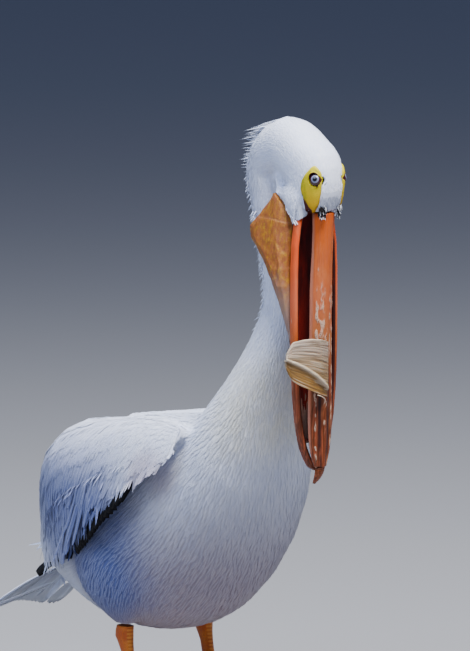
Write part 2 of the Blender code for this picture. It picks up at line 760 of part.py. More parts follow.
# ---- whole bird --------------------------------------------------------------------------
def stand_on_origin():
    """Moves every piece so that the origin is under the middle of the bird, on the ground."""
    bpy.context.view_layer.update()
    graph = bpy.context.evaluated_depsgraph_get()
    low, high = Vector((9, 9, 9)), Vector((-9, -9, -9))
    for obj in bpy.context.scene.objects:
        if obj.hide_render:
            continue
        for corner in obj.evaluated_get(graph).bound_box:
            low = Vector(map(min, low, corner))
            high = Vector(map(max, high, corner))
    shift = Vector((-(low.x + high.x) / 2, -(low.y + high.y) / 2, -low.z))
    for obj in bpy.context.scene.objects:
        obj.location = shift
    print("origin moved by", tuple(round(v, 5) for v in shift))


def main():
    clear_scene()
    cutters = make_body_cutters()
    make_body()
    make_eyes()
    make_crest(cutters)
    make_upper_mandible()
    make_nail()
    make_lower_mandible()
    make_pouch(cutters)
    make_horn()
    make_wings(cutters["trunk"])
    make_tail(cutters["trunk"])
    make_legs(cutters["trunk"])
    stand_on_origin()


main()
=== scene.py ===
# %% [markdown]
# # An American white pelican, dressed
#
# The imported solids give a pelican's true size and pose: neck up, head folded over, bill hanging
# straight down. This lesson dresses them. One skin takes the place of all the feathered flesh,
# thousands of small feathers lie on that skin, and the bare parts (bill, pouch, eyes, legs) are
# made again with their ridges, folds and scales. Everything stays where the solids say.

# %% The frame
import bpy
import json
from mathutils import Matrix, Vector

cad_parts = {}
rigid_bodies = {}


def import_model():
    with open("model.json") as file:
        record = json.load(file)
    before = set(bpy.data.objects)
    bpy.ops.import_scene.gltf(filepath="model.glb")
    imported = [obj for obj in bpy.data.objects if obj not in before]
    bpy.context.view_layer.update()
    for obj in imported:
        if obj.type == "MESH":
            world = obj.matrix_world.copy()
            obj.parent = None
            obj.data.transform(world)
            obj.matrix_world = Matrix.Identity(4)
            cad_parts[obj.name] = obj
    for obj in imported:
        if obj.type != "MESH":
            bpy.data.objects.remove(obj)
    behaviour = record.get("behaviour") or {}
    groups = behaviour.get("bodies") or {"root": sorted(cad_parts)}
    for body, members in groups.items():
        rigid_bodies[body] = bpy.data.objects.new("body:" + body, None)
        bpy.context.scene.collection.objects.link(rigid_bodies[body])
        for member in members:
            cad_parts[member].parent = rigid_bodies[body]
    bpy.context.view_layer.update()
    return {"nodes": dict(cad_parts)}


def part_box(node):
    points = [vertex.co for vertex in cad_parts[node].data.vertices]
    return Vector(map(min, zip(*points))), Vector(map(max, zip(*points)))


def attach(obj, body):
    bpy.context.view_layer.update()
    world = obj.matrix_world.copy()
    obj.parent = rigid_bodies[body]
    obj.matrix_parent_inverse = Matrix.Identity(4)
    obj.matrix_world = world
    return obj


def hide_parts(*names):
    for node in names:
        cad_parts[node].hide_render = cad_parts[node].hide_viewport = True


for obj in list(bpy.data.objects):
    bpy.data.objects.remove(obj, do_unlink=True)
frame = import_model()

import json
import math

import bmesh
import numpy as np
from mathutils import Vector
from mathutils.bvhtree import BVHTree

SIDES = (("left", 1), ("right", -1))
NODES = frame["nodes"]

# %% [markdown]
# ## The camera
#
# A long lens from eight metres keeps the proportions of the bird true, as a bird photographer
# would. It stands in front of the bird's right shoulder and a little above it. The aim is the
# axis of the bird, level with its lower foreneck.

# %% Camera
AZIMUTH, ELEVATION, DISTANCE = math.radians(-38), math.radians(8), 8.0
AIM = Vector((0, -0.1305, 0.496))
FRAME_HEIGHT = 0.7812  # metres of the bird's plane that the picture is high


def direction(azimuth, elevation):
    """From the bird towards a viewer: azimuth 0 is in front, elevation is above the ground."""
    level = math.cos(elevation)
    return Vector((math.sin(azimuth) * level, -math.cos(azimuth) * level, math.sin(elevation)))


camera = bpy.data.objects.new("camera", bpy.data.cameras.new("camera"))
bpy.context.scene.collection.objects.link(camera)
camera.location = AIM + direction(AZIMUTH, ELEVATION) * DISTANCE
camera.rotation_mode = "QUATERNION"
camera.rotation_quaternion = (-direction(AZIMUTH, ELEVATION)).to_track_quat("-Z", "Y")
camera.data.sensor_width = 36
camera.data.lens = camera.data.sensor_width * DISTANCE / FRAME_HEIGHT
bpy.context.scene.camera = camera
print("lens", round(camera.data.lens, 1), "mm")

# %% [markdown]
# ## Studio
#
# White plumage shows its form only by soft shading. One broad, warm light comes from high in
# front, a cooler one fills from the bird's right, a third lifts the edge of its back, and a blue
# sky lights the rest. The floor is plain, and it is no part of the bird.

# %% Light and floor


def area_light(name, azimuth, elevation, distance, size, watts, colour):
    """A square soft box that looks at the bird's middle."""
    light = bpy.data.objects.new(name, bpy.data.lights.new(name, "AREA"))
    bpy.context.scene.collection.objects.link(light)
    way = direction(math.radians(azimuth), math.radians(elevation))
    light.location = Vector((0, 0, 0.4)) + way * distance
    light.rotation_euler = (-way).to_track_quat("-Z", "Y").to_euler()
    light.data.size = size
    light.data.energy = watts
    light.data.color = colour
    return light


area_light("key_light", -8, 64, 3.0, 1.0, 230, (1.0, 0.97, 0.93))
area_light("fill_light", -80, 46, 3.0, 1.6, 74, (0.66, 0.77, 1.0))
area_light("rim_light", 160, 62, 3.0, 1.2, 70, (0.90, 0.95, 1.0))

world = bpy.data.worlds.new("sky")
world.use_nodes = True
world.node_tree.nodes["Background"].inputs["Color"].default_value = (0.40, 0.54, 1.0, 1)
world.node_tree.nodes["Background"].inputs["Strength"].default_value = 0.26
bpy.context.scene.world = world

bpy.ops.mesh.primitive_plane_add(size=30)
floor = bpy.context.object
floor.name = "studio_floor"
paper = bpy.data.materials.new("studio_paper")
paper.use_nodes = True
paper.node_tree.nodes["Principled BSDF"].inputs["Base Color"].default_value = (0.26, 0.26, 0.27, 1)
paper.node_tree.nodes["Principled BSDF"].inputs["Roughness"].default_value = 0.9
floor.data.materials.append(paper)
print("studio ready")

# %% [markdown]
# ## Writing materials
#
# Every finish is a small tree of nodes. A few helpers keep each tree short to read: one places
# a node and sets its values, one makes a colour ramp, and one starts a material. Patterns that
# several finishes share (streaks along a feather, wrinkles in skin) become node groups.

# %% Node helpers


def place_node(tree, kind, values=None, **settings):
    """Adds a node, sets its properties, and sets or links its inputs."""
    node = tree.nodes.new(kind)
    for name, value in settings.items():
        setattr(node, name, value)
    for name, value in (values or {}).items():
        if isinstance(value, bpy.types.NodeSocket):
            tree.links.new(value, node.inputs[name])
        elif isinstance(value, tuple) and node.inputs[name].type == "RGBA":
            node.inputs[name].default_value = (*value[:3], 1.0)
        else:
            node.inputs[name].default_value = value
    return node


def place_group(tree, group, values):
    """A group node; its sockets exist only once its tree is set."""
    node = tree.nodes.new("ShaderNodeGroup")
    node.node_tree = group
    for name, value in values.items():
        tree.links.new(value, node.inputs[name])
    return node


def math_node(tree, operation, a, b=0.0, c=0.0):
    return place_node(tree, "ShaderNodeMath", {0: a, 1: b, 2: c}, operation=operation).outputs[0]


def product(tree, *values):
    result = values[0]
    for value in values[1:]:
        result = math_node(tree, "MULTIPLY", result, value)
    return result


def size_of(tree, value):
    return math_node(tree, "ABSOLUTE", value)


def smooth_step(tree, value, start, end):
    """0 before start, 1 after end, and an eased slope between them."""
    node = place_node(tree, "ShaderNodeMapRange", {"Value": value, "From Min": start, "From Max": end},
                      interpolation_type="SMOOTHSTEP")
    return node.outputs["Result"]


def mix_colour(tree, share, first, second, blend="MIX"):
    """Mixes two colours. A Mix node has sockets for numbers too, so the colours' go by index."""
    node = place_node(tree, "ShaderNodeMix", {0: share, 6: first, 7: second}, data_type="RGBA",
                      blend_type=blend)
    return node.outputs[2]


def laid_over(tree, colour, tint, mask, strength=1.0):
    """A colour with a tint over it where the mask is, at most as strong as told."""
    return mix_colour(tree, mask if strength == 1.0 else product(tree, mask, strength), colour, tint)


def attribute(tree, name):
    return place_node(tree, "ShaderNodeAttribute", attribute_name=name).outputs["Fac"]


def ramp(tree, value, stops):
    """A colour ramp through (place, colour) stops."""
    node = place_node(tree, "ShaderNodeValToRGB", {"Fac": value})
    marks = node.color_ramp.elements
    while len(marks) < len(stops):
        marks.new(1.0)
    for mark, (place, colour) in zip(marks, stops):
        mark.position = place
        mark.color = (*colour, 1.0)
    return node.outputs["Color"]


def start_material(name, roughness, **constants):
    """A material with its Principled shader; constants are set on the shader's own sockets."""
    material = bpy.data.materials.new(name)
    material.use_nodes = True
    shader = material.node_tree.nodes["Principled BSDF"]
    shader.inputs["Roughness"].default_value = roughness
    for socket, value in constants.items():
        shader.inputs[socket.replace("_", " ").title().replace("Ior", "IOR")].default_value = value
    return material, material.node_tree, shader


def wire_bump(tree, shader, height, strength, distance):
    bump = place_node(tree, "ShaderNodeBump", {"Height": height, "Strength": strength, "Distance": distance})
    tree.links.new(bump.outputs["Normal"], shader.inputs["Normal"])


def object_place(tree):
    return place_node(tree, "ShaderNodeTexCoord").outputs["Object"]


def stretched_noise(tree, place, scale, detail=4.0, roughness=0.55):
    """Noise whose grain is drawn out: scale is the grain's fineness along x, y and z."""
    mapping = place_node(tree, "ShaderNodeMapping", {"Vector": place, "Scale": scale})
    noise = place_node(tree, "ShaderNodeTexNoise",
                       {"Vector": mapping.outputs["Vector"], "Scale": 1.0, "Detail": detail,
                        "Roughness": roughness})
    return noise.outputs["Fac"]


print("helpers ready")

# %% [markdown]
# ## Plumage colour
#
# The bird is white, faintly cool in the shade of its feathers, with a pale yellow wash on the
# breast. White plumage takes up the colour of the light round it, and here that light is painted
# into the colour: painted shade with warm light from the ground makes the belly mauve, painted
# blue shade from the sky covers the flank and the lower wing, and a painted warm reflection makes
# the wrist faintly pink. Each of these is a mask from the place on the bird, laid over the white.
# Skin and feathers share one node group for them, so that where the skin shows between two
# feathers nothing changes.

# %% Plumage node group


def new_group(name, inputs, outputs):
    """A shader node group with its sockets, and its two end nodes."""
    group = bpy.data.node_groups.new(name, "ShaderNodeTree")
    for kind, sockets in (("INPUT", inputs), ("OUTPUT", outputs)):
        for label, socket_type in sockets:
            group.interface.new_socket(label, in_out=kind, socket_type=socket_type)
    return group, group.nodes.new("NodeGroupInput"), group.nodes.new("NodeGroupOutput")


FLOAT, COLOUR = "NodeSocketFloat", "NodeSocketColor"
WHITE = (0.80, 0.835, 0.92)
SHADE_WHITE = (0.54, 0.61, 0.82)
BREAST_YELLOW = (0.86, 0.82, 0.60)
# The next three colours are painted light, not the plumage's own colour: painted shade on the belly, painted
# shade on the flank and lower wing, and a painted warm reflection at the wrist.
BELLY_PAINTED_SHADE = (0.22, 0.165, 0.21)
FLANK_PAINTED_SHADE = (0.060, 0.100, 0.32)
WRIST_PAINTED_REFLECTION = (0.40, 0.31, 0.38)
TONE_SHADE = 0.32  # how much darker the feathers of the deepest tone are
WRIST = (0.126, -0.118, 0.322)  # of the left wing
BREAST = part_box("neck_lower")[0]  # its lowest, foremost corner is just above the breast
# Each pair is where a mask is 0 and where it is 1, in metres up, back or to the side.
BREAST_BELOW, BREAST_ABOVE = (BREAST.z + 0.120, BREAST.z + 0.030), (BREAST.z - 0.075, BREAST.z - 0.005)
BREAST_FRONT = (-0.150, -0.200)
BELLY_UP, BELLY_BACK = (0.350, 0.170), (0.130, 0.050)
FLANK_SIDE, FLANK_BACK, FLANK_UP = (0.050, 0.095), (-0.120, -0.020), (0.398, 0.262)
WRIST_GAP = (0.048, 0.016)

plumage, plumage_in, plumage_out = new_group(
    "plumage_colour_and_painted_light", (("Tone", FLOAT),), (("Colour", COLOUR), ("Height", FLOAT)))
place = object_place(plumage)
aside, back, up = place_node(plumage, "ShaderNodeSeparateXYZ", {"Vector": place}).outputs
mottle = stretched_noise(plumage, place, (45, 45, 22), 3.0)
colour = laid_over(plumage, WHITE, SHADE_WHITE, mottle, 0.55)
breast = product(plumage, smooth_step(plumage, up, *BREAST_ABOVE), smooth_step(plumage, up, *BREAST_BELOW),
                 smooth_step(plumage, back, *BREAST_FRONT))
wash = product(plumage, breast, product(plumage, mottle, 0.95))
colour = laid_over(plumage, colour, BREAST_YELLOW, wash)
# painted shade: the belly is darkened to mauve, as shadow with warm light thrown up from the ground
belly = product(plumage, smooth_step(plumage, up, *BELLY_UP), smooth_step(plumage, back, *BELLY_BACK))
colour = laid_over(plumage, colour, BELLY_PAINTED_SHADE, belly, 0.85)
# painted shade: blue shade from the sky laid over the flank and the lower half of the folded wing
flank = product(plumage, smooth_step(plumage, size_of(plumage, aside), *FLANK_SIDE),
                smooth_step(plumage, back, *FLANK_BACK), smooth_step(plumage, up, *FLANK_UP))
colour = laid_over(plumage, colour, FLANK_PAINTED_SHADE, flank, 0.94)
# painted reflection: a faint warm pink laid round each wrist
wrist_gaps = [
    place_node(plumage, "ShaderNodeVectorMath", {"Vector": place, 1: (side * WRIST[0], *WRIST[1:])},
               operation="DISTANCE").outputs["Value"] for _, side in SIDES]
near_wrist = smooth_step(plumage, math_node(plumage, "MINIMUM", *wrist_gaps), *WRIST_GAP)
colour = laid_over(plumage, colour, WRIST_PAINTED_REFLECTION, near_wrist, 0.60)
tone = product(plumage, plumage_in.outputs["Tone"], TONE_SHADE)
toned = mix_colour(plumage, tone, colour, SHADE_WHITE, "MULTIPLY")
plumage.links.new(toned, plumage_out.inputs["Colour"])
plumage.links.new(stretched_noise(plumage, place, (900, 900, 220), 3.0), plumage_out.inputs["Height"])
print("plumage group", len(plumage.nodes), "nodes")

# %% [markdown]
# ## The skin
#
# The solids part the bird's flesh into trunk, neck, head, thighs and wings. Their copies are
# joined and remeshed on a fine grid of voxels, which closes the gaps between them. Then the
# skin sinks in by the depth that the coat has at each place, least on the head and wings.

# %% Skin
FLESH = ("trunk", "neck_lower", "neck_middle", "neck_upper", "head",
         "thigh_left", "thigh_right", "wing_left", "wing_right")
VOXEL = 0.0034
SKIN_SMOOTHING = 5
COAT_DEPTH = {"trunk": 0.0035, "neck_lower": 0.0030, "neck_middle": 0.0026, "neck_upper": 0.0022,
              "head": 0.0014, "thigh_left": 0.0030, "thigh_right": 0.0030,
              "wing_left": 0.0014, "wing_right": 0.0014}


def link_mesh(name, mesh):
    obj = bpy.data.objects.new(name, mesh)
    bpy.context.scene.collection.objects.link(obj)
    return obj


def mesh_from_bmesh(name, bm):
    mesh = bpy.data.meshes.new(name)
    bm.to_mesh(mesh)
    bm.free()
    return mesh


def merged_copy(*nodes):
    """A bmesh of one or more solids, whose loose triangles are welded."""
    bm = bmesh.new()
    for node in nodes:
        bm.from_mesh(NODES[node].data)
    bmesh.ops.remove_doubles(bm, verts=bm.verts, dist=1e-5)
    return bm


def at(node, across, back, up):
    """A point in a solid's box: each share runs from 0 at its lowest corner to 1 at its highest."""
    low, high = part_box(node)
    return Vector(low[k] + (high[k] - low[k]) * share for k, share in enumerate((across, back, up)))


def surface_of(*nodes):
    """A search tree over solids, for finding the nearest surface and casting rays."""
    bm = merged_copy(*nodes)
    tree = BVHTree.FromBMesh(bm)
    bm.free()
    return tree


def remeshed(name, bm, voxel, smoothing):
    """The same shape as one closed skin of even squares."""
    obj = link_mesh(name, mesh_from_bmesh(name, bm))
    grid = obj.modifiers.new("grid", "REMESH")
    grid.mode = "VOXEL"
    grid.voxel_size = voxel
    ease = obj.modifiers.new("ease", "SMOOTH")
    ease.iterations = smoothing
    ease.factor = 0.5
    made = bpy.data.meshes.new_from_object(obj.evaluated_get(bpy.context.evaluated_depsgraph_get()))
    obj.modifiers.clear()
    obj.data = made
    made.name = name
    return obj


def read_values(items, what, width=1, kind=np.float32):
    """What a mesh's items hold, as an array: a row of width numbers for each item."""
    values = np.empty(len(items) * width, kind)
    items.foreach_get(what, values)
    return values.reshape(-1, width) if width > 1 else values


def points_of(mesh):
    return read_values(mesh.vertices, "co", 3).astype(float)


def normals_of(mesh):
    return read_values(mesh.vertex_normals, "vector", 3).astype(float)


def move_points(mesh, points):
    mesh.vertices.foreach_set("co", points.astype(np.float32).ravel())
    mesh.update()


DEPTH_BLENDS = 6  # times that the coat's depth is evened out between neighbours
CREASE = Vector((0, -0.2365, 0.680))  # the fold of the throat, round which the head is bent over
THROAT_RADIUS, THROAT_STRETCH = 0.014, (1.75, 1, 1)  # a ball that fills the fold
THROAT_SHIFT = Vector((0, -0.002, 0.003))
POUCH_APEX = Vector((0, -0.2424, 0.6680))  # the bare pouch's upper point; feathers cover all above
CHEEK_SLOPE = 0.74  # rise of the feathers' lower edge for each metre back, in front of the apex


def above_apex(points):
    """How far points lie above the edge of the feathers over the pouch."""
    return points[:, 2] - POUCH_APEX.z - CHEEK_SLOPE * np.minimum(points[:, 1] - POUCH_APEX.y, 0)


flesh = merged_copy(*FLESH)
for slope in (0, CHEEK_SLOPE):  # the pouch's top is feathered: it is cut off twice and joined
    cap = merged_copy("pouch")
    whole = cap.verts[:] + cap.edges[:] + cap.faces[:]
    cut = bmesh.ops.bisect_plane(cap, geom=whole, plane_co=POUCH_APEX, plane_no=(0, -slope, 1),
                                 clear_inner=True)
    bmesh.ops.holes_fill(cap, edges=[e for e in cut["geom_cut"] if isinstance(e, bmesh.types.BMEdge)])
    spare = bpy.data.meshes.new("cap")
    cap.to_mesh(spare)
    flesh.from_mesh(spare)
    cap.free()
    bpy.data.meshes.remove(spare)
throat = bmesh.ops.create_uvsphere(flesh, u_segments=24, v_segments=16, radius=THROAT_RADIUS)["verts"]
bmesh.ops.scale(flesh, verts=throat, vec=THROAT_STRETCH)
bmesh.ops.translate(flesh, verts=throat, vec=CREASE + THROAT_SHIFT)
skin = remeshed("skin", flesh, VOXEL, SKIN_SMOOTHING)
flesh_trees = {node: surface_of(node) for node in FLESH}


def nearest_flesh(point):
    """The name of the solid whose surface is nearest to a point."""
    reach = {node: tree.find_nearest(point)[3] for node, tree in flesh_trees.items()}
    return min(reach, key=reach.get)


skin_points, skin_normals = points_of(skin.data), normals_of(skin.data)
skin_owner = np.array([FLESH.index(nearest_flesh(point)) for point in skin_points])
skin_depth = np.array([COAT_DEPTH[node] for node in FLESH])[skin_owner]
ends = read_values(skin.data.edges, "vertices", 2, np.int32)
for _ in range(DEPTH_BLENDS):  # depths blend along the skin, from each vertex to its neighbours
    total, count = np.zeros(len(skin_depth)), np.zeros(len(skin_depth))
    for a, b in ((0, 1), (1, 0)):
        np.add.at(total, ends[:, a], skin_depth[ends[:, b]])
        np.add.at(count, ends[:, a], 1)
    skin_depth = total / count
move_points(skin.data, skin_points - skin_normals * skin_depth[:, None])
skin.data.shade_smooth()
print("skin", len(skin.data.polygons), "faces")

# %% [markdown]
# The skin is unwrapped once. Each feather will later take its spot on this unwrap from the
# place of its root, so that the coat's own map lies in the same order as the skin's.

# %% Unwrap of the skin
UNWRAP_ANGLE, ISLAND_MARGIN = math.radians(66), 0.004

bpy.context.view_layer.objects.active = skin
skin.select_set(True)
skin.data.uv_layers.new(name="OFBake")
bpy.ops.object.mode_set(mode="EDIT")
bpy.ops.mesh.select_all(action="SELECT")
bpy.ops.uv.smart_project(angle_limit=UNWRAP_ANGLE, island_margin=ISLAND_MARGIN)
bpy.ops.object.mode_set(mode="OBJECT")
skin.select_set(False)

skin_uv = read_values(skin.data.uv_layers["OFBake"].data, "uv", 2)
skin_faces = skin.data.polygons
face_points, face_normals = (read_values(skin_faces, what, 3).astype(float) for what in ("center", "normal"))
face_areas = read_values(skin_faces, "area")
loop_starts = read_values(skin_faces, "loop_start", kind=np.int32)
face_uv = np.add.reduceat(skin_uv, loop_starts) / np.diff(np.append(loop_starts, len(skin_uv)))[:, None]
face_owner = skin_owner[[face.vertices[0] for face in skin_faces]]
skin_tree = BVHTree.FromPolygons([tuple(p) for p in points_of(skin.data)],
                                 [tuple(face.vertices) for face in skin_faces])


def spots_of(roots):
    """Each root's place on the skin's unwrap."""
    return np.array([face_uv[skin_tree.find_nearest(Vector(root))[2]] for root in roots])


print("unwrapped", round(float(face_areas.sum()), 3), "square metres of skin")

# %% [markdown]
# ## The lie of the feathers
#
# On a bird every feather points away from the bill. Here the lie is set by a few guides, each a
# place on a solid with the way that feathers point there, their length, width, and how far
# their tips stand off. A root anywhere else takes a blend of the guides near it. On the head
# the lie turns about the fold of the throat instead, up the face, over the crown and down.

# %% Guides
from collections import namedtuple

Guide = namedtuple("Guide", "where way length width rise")


MM = 0.001
BODY_GUIDES = (  # for the left side, mirrored on the right
    Guide(at("trunk", 0.50, 0.02, 0.88), (0, 0.35, -1), 13, 3.6, 1.01),  # foot of the foreneck
    Guide(at("trunk", 0.50, 0.09, 0.57), (0, 0.45, -1), 16, 4.0, 1.09),  # breast
    Guide(at("trunk", 0.50, 0.27, 0.19), (0, 1, -0.7), 18, 4.2, 1.26),
    Guide(at("trunk", 0.50, 0.52, 0.00), (0, 1, 0), 20, 4.6, 1.34),  # belly
    Guide(at("trunk", 0.50, 0.80, 0.06), (0, 1, 0.1), 22, 5.0, 1.34),  # vent
    Guide(at("trunk", 0.88, 0.20, 0.66), (0.1, 0.6, -1), 16, 4.0, 1.09),
    Guide(at("trunk", 1.00, 0.46, 0.42), (0, 1, -0.75), 20, 4.4, 1.34),  # flank
    Guide(at("trunk", 0.92, 0.72, 0.28), (-0.1, 1, -0.45), 22, 4.8, 1.43),
    Guide(at("thigh_left", 0.85, 0.40, 0.45), (0, 0.5, -1), 18, 4.4, 1.26),
    Guide(at("thigh_left", 0.50, 0.50, 0.05), (0, 0.1, -1), 9, 3.0, 0.84),
    Guide(at("trunk", 0.50, 0.40, 0.79), (0, 1, -0.05), 26, 8.0, 1.34),  # back
    Guide(at("trunk", 0.50, 0.74, 0.65), (0, 1, -0.45), 28, 8.5, 1.34),
    Guide(at("trunk", 0.50, 0.92, 0.28), (0, 0.7, -1), 26, 8.0, 1.34),  # rump
    Guide(at("trunk", 0.80, 0.17, 0.88), (0.2, 0.8, -0.6), 16, 4.2, 1.09),  # shoulder
    Guide(at("neck_lower", 0.85, 0.55, 0.50), (0, 0.33, -1), 9.5, 2.9, 0.84),
    Guide(at("neck_middle", 0.95, 0.50, 0.50), (0, 0, -1), 8.0, 2.5, 0.76),
    Guide(at("neck_upper", 0.95, 0.50, 0.50), (0, -0.2, -1), 7.0, 2.2, 0.67),
    Guide(at("neck_upper", 0.50, 1.00, 0.40), (0, 0.10, -1), 10.0, 1.7, 3.0),  # hindneck
    Guide(at("neck_middle", 0.50, 0.95, 0.60), (0, 0.15, -1), 10.0, 1.8, 2.8),
    Guide(at("neck_lower", 0.50, 0.98, 0.55), (0, 0.5, -1), 12.0, 2.6, 2.2),
)
WING_GUIDES = (
    Guide(at("wing_left", 0.75, 0.01, 0.88), (0.30, 0.30, -1), 9, 2.2, 0.42),  # wrist
    Guide(at("wing_left", 0.68, 0.15, 0.98), (1.0, 0.30, -0.8), 10, 2.5, 0.45),
    Guide(at("wing_left", 0.75, 0.43, 0.87), (0.9, 0.22, -1), 18, 3.4, 0.5),
    Guide(at("wing_left", 0.98, 0.43, 0.50), (0, 0.16, -1), 22, 3.9, 0.5),
    Guide(at("wing_left", 0.95, 0.20, 0.50), (0, 0.25, -1), 14, 3.1, 0.5),
    Guide(at("wing_left", 0.75, 0.76, 0.60), (0.35, 0.28, -1), 24, 3.9, 0.5),
    Guide(at("wing_left", 0.65, 0.85, 0.15), (-0.10, 0.42, -1), 24, 3.9, 0.5),
    Guide(at("wing_left", 0.45, 0.30, 0.98), (1.0, 0.32, -0.6), 18, 3.4, 0.6),
    Guide(at("wing_left", 0.25, 0.71, 0.87), (0.9, 0.50, -0.8), 26, 3.9, 0.6),
)
HEAD_GUIDE = Guide(None, None, 5.6, 1.7, 0.6)
NAPE_GUIDE = Guide(None, None, 10.0, 1.8, 3.0)
HEAD_LEVELS = (CREASE.z - 0.020, CREASE.z + 0.004)  # the neck's lie turns into the head's here
NAPE_START, NAPE_LENGTH = 0.020, 0.035  # back from the fold, feathers grow from the head's to the nape's size
GUIDE_REACH, GUIDE_CORE = 0.035, 0.3  # how far a guide acts, and the share of it that one guide rules


def eased(values, start, end):
    """0 at the start and 1 at the end, with a soft rise between them."""
    share = np.clip((values - start) / (end - start), 0, 1)
    return share * share * (3 - 2 * share)


def blend_guides(points, guides):
    """Way, length, width and rise at each point, from the guides round it."""
    sides = np.sign(points[:, :1] + 1e-9)
    folded = points * np.hstack([sides, np.ones_like(sides), np.ones_like(sides)])
    places = np.array([guide.where for guide in guides])
    gaps = np.linalg.norm(folded[:, None, :] - places[None], axis=2)
    weights = 1.0 / (gaps**2 + GUIDE_CORE * GUIDE_REACH**2) ** 2
    weights /= weights.sum(1, keepdims=True)
    ways = weights @ np.array([Vector(guide.way).normalized() for guide in guides])
    ways[:, :1] *= sides
    sizes = weights @ np.array([(guide.length, guide.width, guide.rise) for guide in guides]) * MM
    return ways, sizes


def lie_of(points, on_wing):
    """The way, length, width and rise for roots at these points."""
    ways, sizes = blend_guides(points, BODY_GUIDES)
    wing_ways, wing_sizes = blend_guides(points, WING_GUIDES)
    ways[on_wing], sizes[on_wing] = wing_ways[on_wing], wing_sizes[on_wing]
    spoke = points - np.array(CREASE)
    turning = np.stack([np.zeros(len(points)), spoke[:, 2], -spoke[:, 1]], 1)
    turning /= np.linalg.norm(turning, axis=1, keepdims=True) + 1e-9
    share = eased(points[:, 2], *HEAD_LEVELS)[:, None]
    ways = ways * (1 - share) + turning * share
    behind = np.clip((points[:, 1] - CREASE.y - NAPE_START) / NAPE_LENGTH, 0, 1)[:, None]
    head_sizes = np.array(HEAD_GUIDE[2:]) * (1 - behind) + np.array(NAPE_GUIDE[2:]) * behind
    sizes = sizes * (1 - share) + head_sizes * MM * share
    return ways, sizes


print(len(BODY_GUIDES) + len(WING_GUIDES), "guides")

# %% [markdown]
# ## One vane
#
# A small feather is modelled as a closed, thin, three-sided blade: two sloping top faces that
# meet in a ridge along the shaft, and a flat underside. Its stations walk over the skin from
# the root, so that the blade bends with the body. Thousands share these few steps, worked out
# for all of them at once with arrays, and are joined in one mesh. Each blade carries three
# numbers for its finish: how far along and across it a point is, and the feather's own tone.

# %% Vane builder
SNAP_REACH = 0.004  # a blade that would have to bend further than this hangs free instead
SNAP_FACING = 0.2  # and so does one that would have to turn over a sharper edge than this
NORMAL_PULL = 2  # how strongly the surface turns a blade, against 1 for where the blade came from
RISE_CURVE = 0.75  # below 1, a blade lifts off early
PATCH = 0.003  # each blade's spot on the coat's map

VaneShape = namedtuple("VaneShape", "places widths crown thickness")
PLUME = VaneShape((0, 0.3, 0.62, 0.86, 1), (0.45, 1.0, 0.86, 0.45, 0), 0.06, 0.02)
TUFT = VaneShape((0, 0.38, 0.75, 1), (0.5, 1.0, 0.7, 0), 0.08, 0.03)
COVERT = VaneShape((0, 0.16, 0.36, 0.60, 0.82, 0.95, 1), (0.5, 0.9, 1.0, 1.0, 0.94, 0.64, 0),
                   0.035, 0.012)
QUILL = VaneShape((0, 0.12, 0.3, 0.5, 0.7, 0.86, 0.96, 1), (0.3, 0.8, 1.0, 1.0, 1.0, 0.85, 0.45, 0),
                  0.10, 0.02)


def unit(vectors):
    return vectors / (np.linalg.norm(vectors, axis=-1, keepdims=True) + 1e-12)


def square_to(ways, normals):
    """The part of each way that lies in the surface."""
    return unit(ways - normals * (ways * normals).sum(-1, keepdims=True))


def walk(roots, normals, ways, lengths, places, tree):
    """The stations of each blade: points on the surface, with the normal and way there."""
    points, normals, ways = roots.copy(), normals.copy(), square_to(ways, normals)
    track = [(points.copy(), normals.copy(), ways.copy())]
    for before, after in zip(places, places[1:]):
        ahead = points + ways * (lengths * (after - before))[:, None]
        if tree is not None:
            for k, point in enumerate(ahead):
                near, normal, _, gap = tree.find_nearest(Vector(point))
                if gap < SNAP_REACH and normal.dot(Vector(normals[k])) > SNAP_FACING:
                    ahead[k] = near
                    normals[k] = unit(normals[k] + NORMAL_PULL * np.array(normal))
        points = ahead
        ways = square_to(ways, normals)
        track.append((points.copy(), normals.copy(), ways.copy()))
    return [np.stack(kind) for kind in zip(*track)]


def mesh_of(name, points, faces, uv=None, numbers=None, soft=None):
    """A mesh from arrays of points and triangles, with a map and per-point numbers."""
    mesh = bpy.data.meshes.new(name)
    mesh.vertices.add(len(points))
    mesh.vertices.foreach_set("co", points.astype(np.float32).ravel())
    mesh.loops.add(len(faces) * 3)
    mesh.loops.foreach_set("vertex_index", faces.astype(np.int32).ravel())
    mesh.polygons.add(len(faces))
    mesh.polygons.foreach_set("loop_start", np.arange(0, len(faces) * 3, 3, dtype=np.int32))
    mesh.update(calc_edges=True)
    if uv is not None:
        mesh.uv_layers.new(name="OFBake").data.foreach_set("uv", uv[faces].astype(np.float32).ravel())
    for label, values in (numbers or {}).items():
        mesh.attributes.new(label, "FLOAT", "POINT").data.foreach_set("value", values.astype(np.float32))
    mesh.shade_smooth()
    if soft is not None:  # the underside of a blade takes the same normals turned round
        corners = points[faces]
        facing = np.cross(corners[:, 1] - corners[:, 0], corners[:, 2] - corners[:, 0])
        turned = np.sign((facing[:, None] * soft[faces]).sum(2) + 1e-12)
        mesh.normals_split_custom_set((soft[faces] * turned[..., None]).reshape(-1, 3))
    return mesh


def blade_faces(stations):
    """The triangles of one blade: rings of left, ridge and right, then a tip."""
    faces = [(0, 2, 1)]
    for k in range(stations - 2):
        a, b = 3 * k, 3 * k + 3
        for first, second in ((0, 1), (1, 2), (2, 0)):
            faces.append((a + first, a + second, b + second))
            faces.append((a + first, b + second, b + first))
    a, tip = 3 * (stations - 2), 3 * (stations - 1)
    faces += [(a, a + 1, tip), (a + 1, a + 2, tip), (a + 2, a, tip)]
    return np.array(faces)


